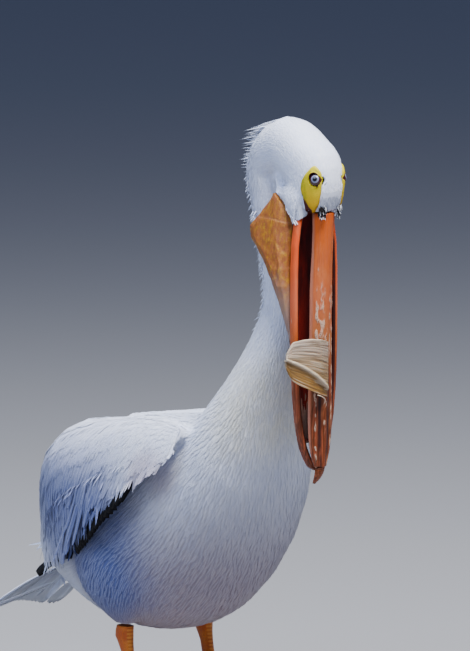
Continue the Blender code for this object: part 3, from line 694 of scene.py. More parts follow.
def vanes(name, roots, normals, ways, lengths, widths, rises, tones, uv, shape, tree,
          sink=0.0004, bend=None):
    """Joins one blade for each root in a mesh. Heights over the surface go from -sink to rise.

    With a bend, the blades take the skin's own normals, bent by that much over their width, so
    that they catch the light as one soft coat."""
    places = np.array(shape.places)
    track, track_normals, track_ways = walk(roots, normals, ways, lengths, shape.places, tree)
    heights = -sink + (rises[None] + sink) * (places**RISE_CURVE)[:, None]
    middles = track + track_normals * heights[..., None]
    across = np.cross(track_ways, track_normals)
    half = widths[None] / 2 * np.array(shape.widths)[:, None]
    left = middles - across * half[..., None]
    right = middles + across * half[..., None]
    ridge = middles + track_normals * (half * 2 * shape.crown + widths[None] * shape.thickness)[..., None]
    count, stations = len(roots), len(places)
    rings = np.stack([left, ridge, right], 2)[:-1]  # station, blade, three, xyz
    body = rings.transpose(1, 0, 2, 3).reshape(count, -1, 3)
    points = np.concatenate([body, middles[-1][:, None]], 1)
    single = blade_faces(stations)
    faces = (single[None] + (np.arange(count) * points.shape[1])[:, None, None]).reshape(-1, 3)
    along = np.append(np.repeat(places[:-1], 3), 1.0)
    side = np.append(np.tile([-1.0, 0.0, 1.0], stations - 1), 0.0)
    spots = uv[:, None] + PATCH * (np.stack([side, along * 2 - 1], 1) / 2)[None]
    numbers = {"along": np.tile(along, count), "across": np.tile(side, count),
               "tone": np.repeat(tones, points.shape[1])}
    soft = None
    if bend is not None:
        sideways = across[:, :, None] * np.array([-bend, 0, bend])[None, None, :, None]
        tilt = track_normals[:, :, None] + sideways + track_ways[:, :, None] * bend * 0.5
        flat = unit(tilt)[:-1].transpose(1, 0, 2, 3).reshape(count, -1, 3)
        soft = np.concatenate([flat, track_normals[-1][:, None]], 1).reshape(-1, 3)
    return mesh_of(name, points.reshape(-1, 3), faces, spots.reshape(-1, 2), numbers, soft)


print("triangles in one plume", len(blade_faces(len(PLUME.places))))

# %% [markdown]
# ## Where no feather grows
#
# The skin round the eye, the corner of the mouth and the edges of the bill and pouch are bare.
# The bare skin round a pelican's eye is shaped like a drop, round at the top and drawn to a
# point towards the bill. Its outline is told from the eye's centre, back and up.

# %% Bare places
EYE = (Vector(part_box("eye_left")[0]) + Vector(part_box("eye_left")[1])) / 2
EYE_WAY = Vector((0.824, -0.567, 0))  # the left eye looks this way over the bare skin's middle
DROP = (  # back over the skin from the eye's centre and up from it, in millimetres
    (2.8, 17.2), (10.8, 10.2), (19.4, -1.4), (21.6, -13.4), (20.4, -21.0), (19.0, -29.0), (17.6, -36.5),
    (16.5, -43.0), (9.0, -43.5), (4.0, -42.0), (0.2, -35.0), (-3.6, -28.4), (-7.4, -12.2), (-8.5, 5.8),
    (-3.2, 13.8))
GAPE = (  # the part of it that is the corner of the mouth
    (23.5, -11.5), (21.0, -14.0), (15.6, -24.3), (8.6, -33.3), (4.6, -39.2), (3.5, -50.0), (24.0, -50.0))


def eye_plane(points):
    """How far points lie back and up from the eye's centre, seen along the eye's way."""
    out = abs(points[:, 0]) - EYE.x
    return np.stack([(points[:, 1] - EYE.y) * EYE_WAY.x - out * EYE_WAY.y, points[:, 2] - EYE.z], 1)


def inside_outline(spots, outline):
    """Whether flat points lie in an outline, by counting the sides that a level line crosses."""
    outline = np.array(outline) * MM
    across, up = spots.T
    inside = np.zeros(len(spots), bool)
    for (a0, u0), (a1, u1) in zip(outline, np.roll(outline, -1, 0)):
        crosses = (u0 > up) != (u1 > up)
        inside ^= crosses & (across < (a1 - a0) * (up - u0) / (u1 - u0 + 1e-12) + a0)
    return inside


BARE_GAP, HIND_GAP = 0.0015, 0.0008  # no feather roots this near to the bill, or to tail and legs
FACE_DEPTH = 0.055  # the drop is looked for only this far below the eye
bill_trees = [surface_of(node) for node in ("upper_mandible", "lower_mandible")]
pouch_tree = [surface_of("pouch")]
hind_trees = [surface_of(node) for node in ("tail", "tarsus_left", "tarsus_right")]


def near_any(points, trees, reach):
    return np.array([any(tree.find_nearest(Vector(p), reach)[0] for tree in trees) for p in points])


def is_bare(roots, tips):
    """True where a blade would grow on bare skin, or lie over it."""
    on_head = roots[:, 2] > EYE.z - FACE_DEPTH
    drop = (inside_outline(eye_plane(roots), DROP) | inside_outline(eye_plane(tips), DROP)) & on_head
    pouched = near_any(roots, pouch_tree, BARE_GAP) & (above_apex(roots) < 0)
    return drop | pouched | near_any(roots, bill_trees, BARE_GAP) | near_any(roots, hind_trees, HIND_GAP)


# %% [markdown]
# ## Strewing the feathers
#
# Roots are strewn over the skin's faces by their area, and one that falls too near another is
# dropped, so that they stand evenly and yet in no rows. The distance between them follows the
# size of the feathers there, so each place is covered about three deep.

# %% Coat
OVERLAP = 3.2
SOFT_BEND = 0.32
CANDIDATES = 5  # thrown for each root that there is room for
CROWDING = 0.86  # how near two roots may stand, against even spacing
rng = np.random.default_rng(11)


def strew(faces):
    """Roots, their face, and the lie there, evenly spread over some of the skin's faces."""
    centres = face_points[faces]
    _, sizes = lie_of(centres, on_wing(faces))
    room = face_areas[faces] * OVERLAP / (sizes[:, 0] * sizes[:, 1])
    chosen = faces[rng.choice(len(faces), int(room.sum() * CANDIDATES), p=room / room.sum())]
    offset = rng.uniform(-0.5, 0.5, (len(chosen), 3)) * VOXEL
    offset -= face_normals[chosen] * (offset * face_normals[chosen]).sum(1, keepdims=True)
    roots = face_points[chosen] + offset
    ways, sizes = lie_of(roots, on_wing(chosen))
    apart_by = np.sqrt(sizes[:, 0] * sizes[:, 1] / OVERLAP) * CROWDING
    cell = apart_by.max()
    grid, kept = {}, []
    for k, (root, gap) in enumerate(zip(roots, apart_by)):
        key = tuple((root // cell).astype(int))
        near = [m for x in (-1, 0, 1) for y in (-1, 0, 1) for z in (-1, 0, 1)
                for m in grid.get((key[0] + x, key[1] + y, key[2] + z), ())]
        if near and ((roots[near] - root) ** 2).sum(1).min() < gap * gap:
            continue
        grid.setdefault(key, []).append(k)
        kept.append(k)
    return roots[kept], chosen[kept], ways[kept], sizes[kept]


def on_wing(faces):
    return face_owner[faces] >= FLESH.index("wing_left")


def coat(name, faces, shape):
    """A joined mesh of small feathers over some of the skin's faces."""
    roots, home, ways, sizes = strew(faces)
    tips = roots + square_to(ways, face_normals[home]) * sizes[:, :1]
    keep = ~is_bare(roots, tips)
    roots, home, ways, sizes = roots[keep], home[keep], ways[keep], sizes[keep]
    count = len(roots)
    ways = unit(ways) + rng.normal(0, 0.07, (count, 3))
    lengths = sizes[:, 0] * rng.uniform(0.8, 1.2, count)
    widths = sizes[:, 1] * rng.uniform(0.8, 1.15, count)
    rises = sizes[:, 2] * rng.uniform(0.5, 1.15, count)
    mesh = vanes(name, roots, face_normals[home], ways, lengths, widths, rises,
                 rng.uniform(0, 1, count), face_uv[home], shape, skin_tree, bend=SOFT_BEND)
    print(name, count, "feathers", len(mesh.polygons), "triangles")
    return link_mesh(name, mesh)


def faces_of(*nodes):
    return np.flatnonzero(np.isin(face_owner, [FLESH.index(node) for node in nodes]))


trunk_faces = faces_of("trunk", "thigh_left", "thigh_right")
MIDDLE_Y = face_points[trunk_faces, 1].mean()
coats = [
    coat("coat_head", faces_of("head"), TUFT),
    coat("coat_neck", faces_of("neck_upper", "neck_middle", "neck_lower"), TUFT),
    coat("coat_breast", trunk_faces[face_points[trunk_faces, 1] < MIDDLE_Y], PLUME),
    coat("coat_rump", trunk_faces[face_points[trunk_faces, 1] >= MIDDLE_Y], PLUME),
    coat("coat_wing_left", faces_of("wing_left"), PLUME),
    coat("coat_wing_right", faces_of("wing_right"), PLUME),
]

# %% [markdown]
# ## Coverts
#
# The outside of a folded wing is roofed with soft coverts, small at the wrist and long towards
# the back. They lie in rows, and each row's tips cover the roots of the row below. The lowest
# row, the greater coverts, keeps its tips in line past the wing's edge. Above it the tips are
# thrown out of line, so that no row shows. A row is a line at one height between the wing's two
# edges, which are told in shares of the wing's box. The feathers lie on the wing's own skin,
# because the nearest skin could otherwise be the body's.

# %% Covert rows
WING_EDGES = (  # lower and upper edge, from the wrist to the tip
    ((0.81, 0.00, 0.85), (0.64, 0.04, 0.99)), ((0.93, 0.06, 0.76), (0.51, 0.15, 1.0)),
    ((0.99, 0.18, 0.64), (0.36, 0.29, 0.97)), ((0.995, 0.325, 0.49), (0.27, 0.46, 0.93)),
    ((0.935, 0.46, 0.34), (0.24, 0.64, 0.89)), ((0.815, 0.60, 0.22), (0.23, 0.80, 0.83)),
    ((0.66, 0.725, 0.12), (0.215, 0.91, 0.63)), ((0.50, 0.86, 0.04), (0.21, 0.97, 0.33)))
wing_solid = surface_of("wing_left")
skin_corners = [vert.co for vert in skin.data.vertices]
wing_skins = {label: BVHTree.FromPolygons(skin_corners, [
    skin.data.polygons[face].vertices[:] for face in faces_of("wing_" + label)]) for label, _ in SIDES}
edge_points = [[at("wing_left", *shares) for shares in pair] for pair in WING_EDGES]
WING_END = len(WING_EDGES) - 1.0  # the last station
CHORD_STEP = 0.3  # stations before and behind, between which the wing's run is measured
EDGE_HEIGHT = 0.97  # rays are cast no nearer to the edges than this
RAY_START = 0.09


def chord_at(station):
    """The left wing's lower and upper edge at a place along it."""
    k = min(int(station), len(edge_points) - 2)
    return [first.lerp(second, station - k) for first, second in zip(edge_points[k], edge_points[k + 1])]


def wing_place(station, height):
    """A point on the left wing's outside: height is -1 at the lower edge and 1 at the upper."""
    lower, upper = chord_at(station)
    behind = chord_at(min(station + CHORD_STEP, WING_END))
    before = chord_at(max(station - CHORD_STEP, 0.0))
    along = (behind[0] + behind[1]) - (before[0] + before[1])
    out = along.cross(upper - lower).normalized()
    aim = lower.lerp(upper, (np.clip(height, -EDGE_HEIGHT, EDGE_HEIGHT) + 1) / 2)
    hit = wing_solid.ray_cast(aim + out * RAY_START, -out)[0] or aim
    return hit + (lower - upper) * max(-EDGE_HEIGHT - height, 0) / 2, out


CovertRow = namedtuple("CovertRow", "height length width start stop")
COVERT_ROWS = (  # lengths and widths in millimetres
    CovertRow(-1.29, 66, 12.0, 1.2, 7.0), CovertRow(-1.14, 64, 8.0, 0.7, 7.0),
    CovertRow(-0.90, 58, 7.0, 0.4, 7.0), CovertRow(-0.66, 52, 6.0, 0.2, 7.0),
    CovertRow(-0.44, 46, 5.5, 0.1, 7.0), CovertRow(-0.20, 40, 5.0, 0.1, 7.0),
    CovertRow(0.00, 34, 4.6, 0.0, 6.9), CovertRow(0.20, 30, 4.2, 0.0, 6.9),
    CovertRow(0.40, 27, 4.2, 0.0, 6.8), CovertRow(0.60, 24, 4.2, 0.0, 6.7))
EDGE_SPACING, ROW_SPACING = 0.56, 0.30  # between neighbours, in feather widths
LOOSE_TIPS = 0.20  # above the edge, tips are thrown out of line by this share of the feather
ARM_STATION, WRIST_SIZE = 2.6, 0.30  # forward of this station coverts shrink, to this share at the wrist
STATION_STEP = 0.1  # over which the row's own length is measured
ROOT_REACH = 0.010  # a root further than this from the wing would lie beyond its edge
TIP_REACH = 0.010  # a feather that the wing's curve leads further than this from its tip is left out
SIDE_INSET = 0.0020  # and so is one that comes nearer than this to the wing's outermost point
covert_list, loose = [], []
for covert_row in COVERT_ROWS:
    station = covert_row.start
    while station < covert_row.stop:
        tip, out = wing_place(station, covert_row.height)
        ahead, _ = wing_place(min(station + STATION_STEP, WING_END), covert_row.height)
        size = WRIST_SIZE + (1 - WRIST_SIZE) * min(station / ARM_STATION, 1.0) ** 1.5
        edge = covert_row is COVERT_ROWS[0]
        spacing = covert_row.width * MM * size * (EDGE_SPACING if edge else ROW_SPACING)
        loose.append(0.0 if edge else LOOSE_TIPS)
        covert_list.append((tip, out, covert_row.length * size * MM, covert_row.width * size * MM))
        station += max(STATION_STEP * spacing / max((ahead - tip).length, 1e-4), 0.02)
tips, outs = (np.array([pair[k] for pair in covert_list]) for k in (0, 1))
lengths, widths = (np.array([pair[k] for pair in covert_list]) for k in (2, 3))
lengths *= rng.uniform(0.92, 1.10, len(tips))
ways = unit(lie_of(tips, np.ones(len(tips), bool))[0] + rng.normal(0, 0.035, tips.shape))
tips = tips + ways * (lengths * np.array(loose) * rng.uniform(-1, 1, len(tips)))[:, None]
aims = tips - ways * lengths[:, None]
starts = np.array([wing_skins["left"].find_nearest(Vector(aim))[0] for aim in aims])
lies = np.linalg.norm(starts - aims, axis=1) < ROOT_REACH
tips, outs, widths, starts = (values[lies] for values in (tips, outs, widths, starts))
ways, lengths = unit(tips - starts), np.linalg.norm(tips - starts, axis=1)
track = walk(starts, outs, ways, lengths, COVERT.places, wing_skins["left"])[0]
lies = np.linalg.norm(track[-1] - tips, axis=1) < TIP_REACH
lies &= track[..., 0].max(0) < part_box("wing_left")[1].x - SIDE_INSET
print(np.count_nonzero(~lies), "coverts that missed their tips or stood out are left out")
starts, outs, ways, lengths, widths = (values[lies] for values in (starts, outs, ways, lengths, widths))
spots = spots_of(starts)
rises, tones = rng.uniform(0.0008, 0.0014, len(starts)), rng.uniform(0, 1, len(starts))
coverts = []
for label, side in SIDES:
    mirror = np.array([side, 1, 1])
    name = "coverts_" + label
    coverts.append(link_mesh(name, vanes(
        name, starts * mirror, outs * mirror, ways * mirror, lengths, widths, rises, tones, spots, COVERT,
        wing_skins[label], 0.0006, 0.24)))
print(len(starts), "coverts on each wing")

# %% [markdown]
# ## Tail and flight feathers
#
# The large feathers are told apart, so they are placed one by one. Each runs from a root to a
# tip on the solid that held its place, and bends over that solid's face. A tip is found by
# asking the solid for its point nearest to one well outside it, which is on its edge.

# %% Large feathers


def nearest_on(tree, point):
    near, normal, _, _ = tree.find_nearest(Vector(point))
    return np.array(near), np.array(normal)


def row(name, node, tips, ways, lengths, widths, up, shape, rises, tone=(0.0, 1.0), sink=0.0004):
    """Feathers that end at tips on one solid, in the order given: the last lies on top."""
    tree = surface_of(node)
    tips, ways, lengths = np.array(tips), unit(np.array(ways, float)), np.array(lengths)
    count = len(tips)
    starts = np.array([nearest_on(tree, start)[0] for start in tips - ways * lengths[:, None]])
    ways, lengths = unit(tips - starts), np.linalg.norm(tips - starts, axis=1)
    spots = spots_of(starts)
    ups = np.tile(unit(np.array(up, float)), (count, 1))
    mesh = vanes(name, starts, ups, ways, lengths, np.array(widths), np.array(rises),
                 rng.uniform(*tone, count), spots, shape, tree, sink)
    print(name, count, "feathers", len(mesh.polygons), "triangles")
    return link_mesh(name, mesh)


TAIL_FEATHERS, TAIL_LENGTH, TAIL_WIDTH = 24, 0.115, 0.017
TAIL_FAN = 0.42  # sideways for each unit back, at the outermost feather
TAIL_ROUND, TAIL_LIFT = 0.012, 0.004  # how far the sides fall short, and the tips' height in the solid
tail_low, tail_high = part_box("tail")
tail_solid = surface_of("tail")
shares = np.linspace(-1, 1, TAIL_FEATHERS)
shares = shares[np.argsort(-abs(shares), kind="stable")]  # the middle pair lies on top
tail_tips = [nearest_on(tail_solid, (share * tail_high.x, tail_high.y - TAIL_ROUND * abs(share) ** 3,
                                     tail_low.z + TAIL_LIFT))[0] for share in shares]
tail_fall = (tail_low.z - tail_high.z) / (tail_high.y - tail_low.y)
tail_ways = [(share * TAIL_FAN, 1.0, tail_fall) for share in shares]
tail = row("tail_feathers", "tail", tail_tips, tail_ways, [TAIL_LENGTH] * TAIL_FEATHERS,
           [TAIL_WIDTH] * TAIL_FEATHERS, (0, 0.5, 1), QUILL, np.linspace(0.0002, 0.0016, TAIL_FEATHERS),
           (0.0, 0.5), sink=0.0015)

QuillRow = namedtuple("QuillRow", "node count width length first_way last_way first_tip last_tip")
QUILL_ROWS = (  # tips in shares of the solid's box, for the left side
    QuillRow("secondaries", 20, 14, 0.034, (0, 0.55, -1), (-0.1, 0.75, -1),
             (1.1, 0.06, 0.3), (0.6, 1.0, -0.2)),
    QuillRow("primaries", 10, 13, 0.052, (-0.1, 0.9, -0.8), (-0.4, 1, -0.45),
             (0.9, 0.12, 0.1), (0.0, 1.02, -0.1)))
quills = []
for label, side in SIDES:
    mirror = np.array([side, 1, 1])
    for quill in QUILL_ROWS:
        solid = surface_of(quill.node + "_left")
        share = np.linspace(0, 1, quill.count)[:, None]
        aims = (1 - share) * np.array(quill.first_tip) + share * np.array(quill.last_tip)
        tips = np.array([nearest_on(solid, at(quill.node + "_left", *aim))[0] for aim in aims])
        ways = (1 - share) * np.array(quill.first_way) + share * np.array(quill.last_way)
        quills.append(row(
            f"{quill.node}_feathers_{label}", f"{quill.node}_{label}", tips * mirror, ways * mirror,
            [quill.length] * quill.count, [quill.width * MM] * quill.count, (side, 0, 0.2), QUILL,
            np.linspace(0.0012, 0.0002, quill.count)))

# %% [markdown]
# The crest is loose: narrow plumes that leave the back of the head and hang free behind it.
# Each one's tip is found on the crest's solid by a ray from far behind, and its root on the
# skin by a ray from the tip. Short wisps of the same kind stand off down the hindneck, and
# their roots are found by rays from behind.

# %% Crest
CREST_PLUMES = 210
NAPE_WISPS, NAPE_LEVELS = 420, (0.500, 0.690)  # short loose feathers down the hindneck
NAPE_SIDE, WISP_LENGTHS = 0.026, (0.007, 0.011)
CREST_TURNS = (math.radians(-6), math.radians(66))
CREST_LONGEST, CREST_STRAY = 0.065, 0.021  # a plume's greatest length, and how far some stray past the rest
WISP = VaneShape((0, 0.25, 0.5, 0.75, 1), (0.8, 1.0, 0.7, 0.38, 0), 0.24, 0.08)
crest_solid = surface_of("crest")
roots, tips = [], []
for turn in np.sort(rng.uniform(*CREST_TURNS, CREST_PLUMES)):
    outward = Vector((rng.uniform(-0.10, 0.10), math.cos(turn), math.sin(turn))).normalized()
    tip = crest_solid.ray_cast(CREASE + outward * 0.2, -outward)[0]
    if tip is None:
        continue
    tip = tip + outward * (rng.uniform(-0.006, 0.005) + CREST_STRAY * rng.uniform() ** 3)
    lean = Vector((rng.uniform(-0.15, 0.15), -1, 0.08 + 0.25 * math.sin(turn))).normalized()
    root = skin_tree.ray_cast(tip, lean)[0]
    if root is not None and (root - tip).length < CREST_LONGEST:
        roots.append(root)
        tips.append(tip)
wisp_levels = rng.uniform(*NAPE_LEVELS, NAPE_WISPS)
for level, across in zip(wisp_levels, rng.uniform(-NAPE_SIDE, NAPE_SIDE, NAPE_WISPS)):
    root, normal, _, _ = skin_tree.ray_cast(Vector((across, 0.1, level)), Vector((0, -1, 0)))
    if root is not None:
        way = (normal * rng.uniform(0.5, 0.9) + Vector((rng.uniform(-0.2, 0.2), 0, -1))).normalized()
        roots.append(root)
        tips.append(root + way * rng.uniform(*WISP_LENGTHS))
roots, tips = np.array(roots), np.array(tips)
out = np.array([nearest_on(skin_tree, root)[1] for root in roots])
lengths = np.linalg.norm(tips - roots, axis=1)
crest = link_mesh("crest_plumes", vanes(
    "crest_plumes", roots, unit(np.cross(np.cross(tips - roots, out), tips - roots)), tips - roots, lengths,
    rng.uniform(0.0016, 0.0034, len(roots)), rng.uniform(-0.002, 0.002, len(roots)),
    rng.uniform(0, 1, len(roots)), spots_of(roots), WISP, None, sink=0.0))
print(len(roots), "crest plumes")

# %% [markdown]
# ## The finish of the plumage
#
# The material reads the numbers that each blade carries, for a faint line along the shaft,
# barbs as a fine slant bump, and the feather's own tone. The skin below takes the same group's
# colour, without the barbs. The quills are black, and browner where their tips are worn.

# %% Plumage materials


SHAFT_SHADE = 0.35
BARBS, BARB_SLANT = 40, -9  # waves from a feather's root to its tip, and from its shaft to its edge
FULL_TURN = 6.28
SKIN_TONE = 0.9


def plumage_material(name, barbs):
    """White plumage: the group's colour and grain, and on feathers their shaft and barbs too."""
    material, tree, shader = start_material(name, 0.72, Sheen_Weight=0.25, Sheen_Roughness=0.6,
                                            Specular_IOR_Level=0.25)
    group = place_group(tree, plumage, {"Tone": attribute(tree, "tone")} if barbs else {})
    colour, height = group.outputs["Colour"], group.outputs["Height"]
    if barbs:
        across = size_of(tree, attribute(tree, "across"))
        shaft = smooth_step(tree, across, 0.30, 0.02)
        colour = laid_over(tree, colour, SHADE_WHITE, shaft, SHAFT_SHADE)
        slant = math_node(tree, "ADD", product(tree, attribute(tree, "along"), BARBS),
                          product(tree, across, BARB_SLANT))
        wave = math_node(tree, "SINE", product(tree, slant, FULL_TURN))
        height = math_node(tree, "MULTIPLY_ADD", wave, 0.3, height)
    else:
        group.inputs["Tone"].default_value = SKIN_TONE
    tree.links.new(colour, shader.inputs["Base Color"])
    wire_bump(tree, shader, height, 0.35, 0.0006)
    return material


white_plumage = plumage_material("white_plumage", True)
white_skin = plumage_material("white_skin", False)

QUILL_BLACK, WORN_BLACK, SHAFT_BLACK = (0.006, 0.006, 0.008), (0.014, 0.012, 0.011), (0.020, 0.018, 0.016)
black_plumage, tree, shader = start_material("black_plumage", 0.75, Specular_IOR_Level=0.1)
shaft = smooth_step(tree, size_of(tree, attribute(tree, "across")), 0.2, 0.02)
worn = smooth_step(tree, attribute(tree, "along"), 0.8, 1.0)
colour = laid_over(tree, QUILL_BLACK, WORN_BLACK, worn, 0.5)
tree.links.new(laid_over(tree, colour, SHAFT_BLACK, shaft), shader.inputs["Base Color"])
wire_bump(tree, shader, stretched_noise(tree, object_place(tree), (700, 700, 180)), 0.3, 0.0006)

for piece in coats + coverts + [tail, crest]:
    piece.data.materials.append(white_plumage)
skin.data.materials.append(white_skin)
for piece in quills:
    piece.data.materials.append(black_plumage)
print("plumage finished")

# %% [markdown]
# ## Sculpting the bare parts
#
# Bill, pouch, plate and legs have one skin each and fine relief, so each solid is copied, given
# an even net of small squares, and pushed in and out along its normals. Where a point lies
# along and across its part is worked out once, moves the surface, and is kept on the mesh as
# an attribute, so that colour and relief agree.

# %% Sculpting helpers
from mathutils import noise


def lumps(points, scale, seed=0.0, octaves=3):
    """Smooth noise from -1 to 1; scale is lumps per metre along x, y and z."""
    places = points * np.array(scale) + seed
    return np.array([noise.fractal(Vector(p), 1.0, 2.0, octaves) for p in places])


def bell(values, centre, width):
    """1 at the centre, falling smoothly to nearly 0 at twice the width."""
    return np.exp(-(((values - centre) / width) ** 2))


def push(obj, heights):
    """Moves each vertex along its normal."""
    move_points(obj.data, points_of(obj.data) + normals_of(obj.data) * heights[:, None])


def keep_numbers(obj, **numbers):
    for name, values in numbers.items():
        layer = obj.data.attributes.new(name, "FLOAT", "POINT")
        layer.data.foreach_set("value", np.asarray(values, np.float32))


def outer_reach(points, levels=48):
    """Heights from the top down, as minus z, and how far a part reaches to the side at each."""
    low, high = points[:, 2].min(), points[:, 2].max()
    level = np.clip(((high - points[:, 2]) / (high - low) * levels).astype(int), 0, levels - 1)
    reach = np.zeros(levels)
    np.maximum.at(reach, level, abs(points[:, 0]))
    return -high + (np.arange(levels) + 0.5) * (high - low) / levels, reach


def half_widths(points, levels=48):
    """For each point, how far its part reaches to the side at the point's height."""
    return np.interp(-points[:, 2], *outer_reach(points, levels))


def band(tree, value, centre, width, soft=0.5):
    """1 near a value, 0 further than the width, with soft edges."""
    gap = size_of(tree, math_node(tree, "SUBTRACT", value, centre))
    return smooth_step(tree, gap, width, width * (1 - soft))


def flecks(tree, place, scale, share):
    """Small irregular specks that cover about this share of the surface."""
    grain = stretched_noise(tree, place, scale, 2.0)
    return smooth_step(tree, grain, 0.62 - share, 0.68 - share)


print("sculpting helpers ready")

# %% [markdown]
# ## Upper mandible
#
# It is a long flat roof with a rounded ridge down its middle, and a groove on either side of
# the ridge. Horn flakes off it in pale crusts along two lines, and near the nail the grooves
# are stained dark. At its root it is orange, further down salmon and brown.

# %% Upper mandible
BILL_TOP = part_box("upper_mandible")[1].z
BILL_LENGTH = BILL_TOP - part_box("upper_mandible")[0].z
BILL_VOXEL = 0.0010
TUCK = 0.42  # how far the sides draw in at the root, as a share of their reach

upper = remeshed("upper_bill", merged_copy("upper_mandible"), BILL_VOXEL, 2)
points = points_of(upper.data)
low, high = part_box("upper_mandible")
across = points[:, 0] / half_widths(points)
down = (BILL_TOP - points[:, 2]) / BILL_LENGTH
facing = normals_of(upper.data)[:, 1] < 0.2
flake = np.clip(lumps(points, (260, 260, 90), 3.0) + 0.25, 0, 1)
crust_line = bell(abs(across), 0.70, 0.10) * eased(down, 0.12, 0.40)
ridge_line = bell(across, 0, 0.12) * eased(down, 0.40, 0.50) * eased(down, 0.90, 0.80)
crust_line = np.maximum(crust_line, ridge_line)
crust_wide = bell(abs(across), 0.45, 0.30) * bell(down, 0.42, 0.16)
stained = bell(abs(across), 0.36, 0.13) * eased(down, 0.60, 0.70)
heights = (0.0007 * bell(across, 0, 0.30) - 0.0006 * bell(abs(across), 0.52, 0.08) - 0.0007 * stained
           + 0.0007 * np.maximum(crust_line, 0.6 * crust_wide) * flake
           + 0.00015 * lumps(points, (420, 420, 60), 7.0))
push(upper, heights * facing)
tuck = TUCK * eased(down, 0.34, 0.02) * np.clip((points[:, 1] - low.y) / (high.y - low.y), 0, 1) ** 1.5
moved = points_of(upper.data)
moved[:, 0] *= 1 - tuck  # at its root the bill's sides slope in towards the mouth
move_points(upper.data, moved)
keep_numbers(upper, across=across, down=down, crust=np.maximum(crust_line, crust_wide * 0.8) * flake,
             stain=stained)
print("upper bill", len(upper.data.polygons), "faces")

# %% [markdown]
# The bill's finish is built once as a group: streaks along the horn, flakes and specks, all
# from numbers on the mesh. Both mandibles and the nail place it with their own colours.

# %% Bill finish
bill_grain, grain_in, grain_out = new_group(
    "bill_grain", (("Crust", FLOAT), ("Stain", FLOAT), ("Base", COLOUR)),
    (("Colour", COLOUR), ("Roughness", FLOAT), ("Height", FLOAT)))
place = object_place(bill_grain)
streaks = stretched_noise(bill_grain, place, (520, 520, 26), 5.0)
patches = stretched_noise(bill_grain, place, (110, 110, 34), 3.0)
streaked = smooth_step(bill_grain, streaks, 0.42, 0.66)
colour = laid_over(bill_grain, grain_in.outputs["Base"], (0.44, 0.095, 0.036), streaked, 0.55)
dark = smooth_step(bill_grain, stretched_noise(bill_grain, place, (640, 640, 18), 4.0), 0.60, 0.72)
colour = laid_over(bill_grain, colour, (0.12, 0.014, 0.004), dark, 0.45)
pale = smooth_step(bill_grain, patches, 0.50, 0.70)
colour = laid_over(bill_grain, colour, (0.55, 0.18, 0.07), pale, 0.30)
crust = smooth_step(bill_grain, grain_in.outputs["Crust"], 0.10, 0.45)
colour = laid_over(bill_grain, colour, (0.52, 0.33, 0.23), crust)
chips = product(bill_grain, flecks(bill_grain, place, (900, 900, 420), 0.02), crust)
colour = laid_over(bill_grain, colour, (0.04, 0.015, 0.01), chips)
blood = smooth_step(bill_grain, stretched_noise(bill_grain, place, (480, 480, 42), 2.0), 0.60, 0.68)
colour = laid_over(bill_grain, colour, (0.52, 0.045, 0.02), product(bill_grain, blood, crust), 0.8)
stain = product(bill_grain, grain_in.outputs["Stain"], smooth_step(bill_grain, patches, 0.25, 0.50))
colour = laid_over(bill_grain, colour, (0.030, 0.006, 0.005), stain)
streak_gloss = math_node(bill_grain, "MULTIPLY_ADD", streaks, 0.25, 0.28)
roughness = math_node(bill_grain, "MULTIPLY_ADD", crust, 0.30, streak_gloss)
grit = product(bill_grain, stretched_noise(bill_grain, place, (1500, 1500, 900)), crust)
height = math_node(bill_grain, "MULTIPLY_ADD", streaks, 0.6, grit)
for socket, value in (("Colour", colour), ("Roughness", roughness), ("Height", height)):
    bill_grain.links.new(value, grain_out.inputs[socket])


def bill_material(name, stops, edge=None):
    """Horn whose base colour runs down the bill through stops, with an edge of another colour."""
    material, tree, shader = start_material(name, 0.4, Coat_Weight=0.06, Coat_Roughness=0.3,
                                            Specular_IOR_Level=0.3)
    base = ramp(tree, attribute(tree, "down"), stops)
    if edge:
        start, end, tint = edge
        rim = smooth_step(tree, size_of(tree, attribute(tree, "across")), start, end)
        base = laid_over(tree, base, tint, rim)
    group = place_group(tree, bill_grain, {"Base": base, "Crust": attribute(tree, "crust"),
                                           "Stain": attribute(tree, "stain")})
    tree.links.new(group.outputs["Colour"], shader.inputs["Base Color"])
    tree.links.new(group.outputs["Roughness"], shader.inputs["Roughness"])
    wire_bump(tree, shader, group.outputs["Height"], 0.5, 0.0008)
    return material


ORANGE, DULL_ORANGE, SALMON = (0.56, 0.085, 0.001), (0.50, 0.10, 0.012), (0.46, 0.11, 0.035)
TAN, BROWN, PALE_EDGE = (0.30, 0.10, 0.028), (0.10, 0.020, 0.002), (0.42, 0.17, 0.11)
upper.data.materials.append(bill_material("upper_horn", (
    (0.0, ORANGE), (0.16, DULL_ORANGE), (0.34, SALMON), (0.50, TAN), (0.66, BROWN), (1.0, BROWN)),
    (0.90, 0.97, PALE_EDGE)))
print("bill finish", len(bill_grain.nodes), "nodes")

# %% [markdown]
# ## Nail
#
# The bill ends in a small hooked nail, ridged across by growth. It is brown like the end of the
# bill, and darkest at its tip.

# %% Nail
nail = remeshed("nail", merged_copy("bill_nail"), 0.0006, 2)
points = points_of(nail.data)
top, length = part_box("bill_nail")[1].z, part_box("bill_nail")[1].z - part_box("bill_nail")[0].z
across = points[:, 0] / np.maximum(half_widths(points, 20), 0.001)
down = (top - points[:, 2]) / length
push(nail, 0.00012 * np.sin(down * 40) + 0.0003 * bell(across, 0, 0.4))
keep_numbers(nail, down=down, crust=np.zeros(len(points)), stain=0.6 * bell(down, 0, 0.12))
nail.data.materials.append(bill_material("nail_horn", (
    (0.0, (0.17, 0.036, 0.001)), (0.5, (0.15, 0.030, 0.001)), (1.0, (0.06, 0.012, 0.001)))))
print("nail", len(nail.data.polygons), "faces")

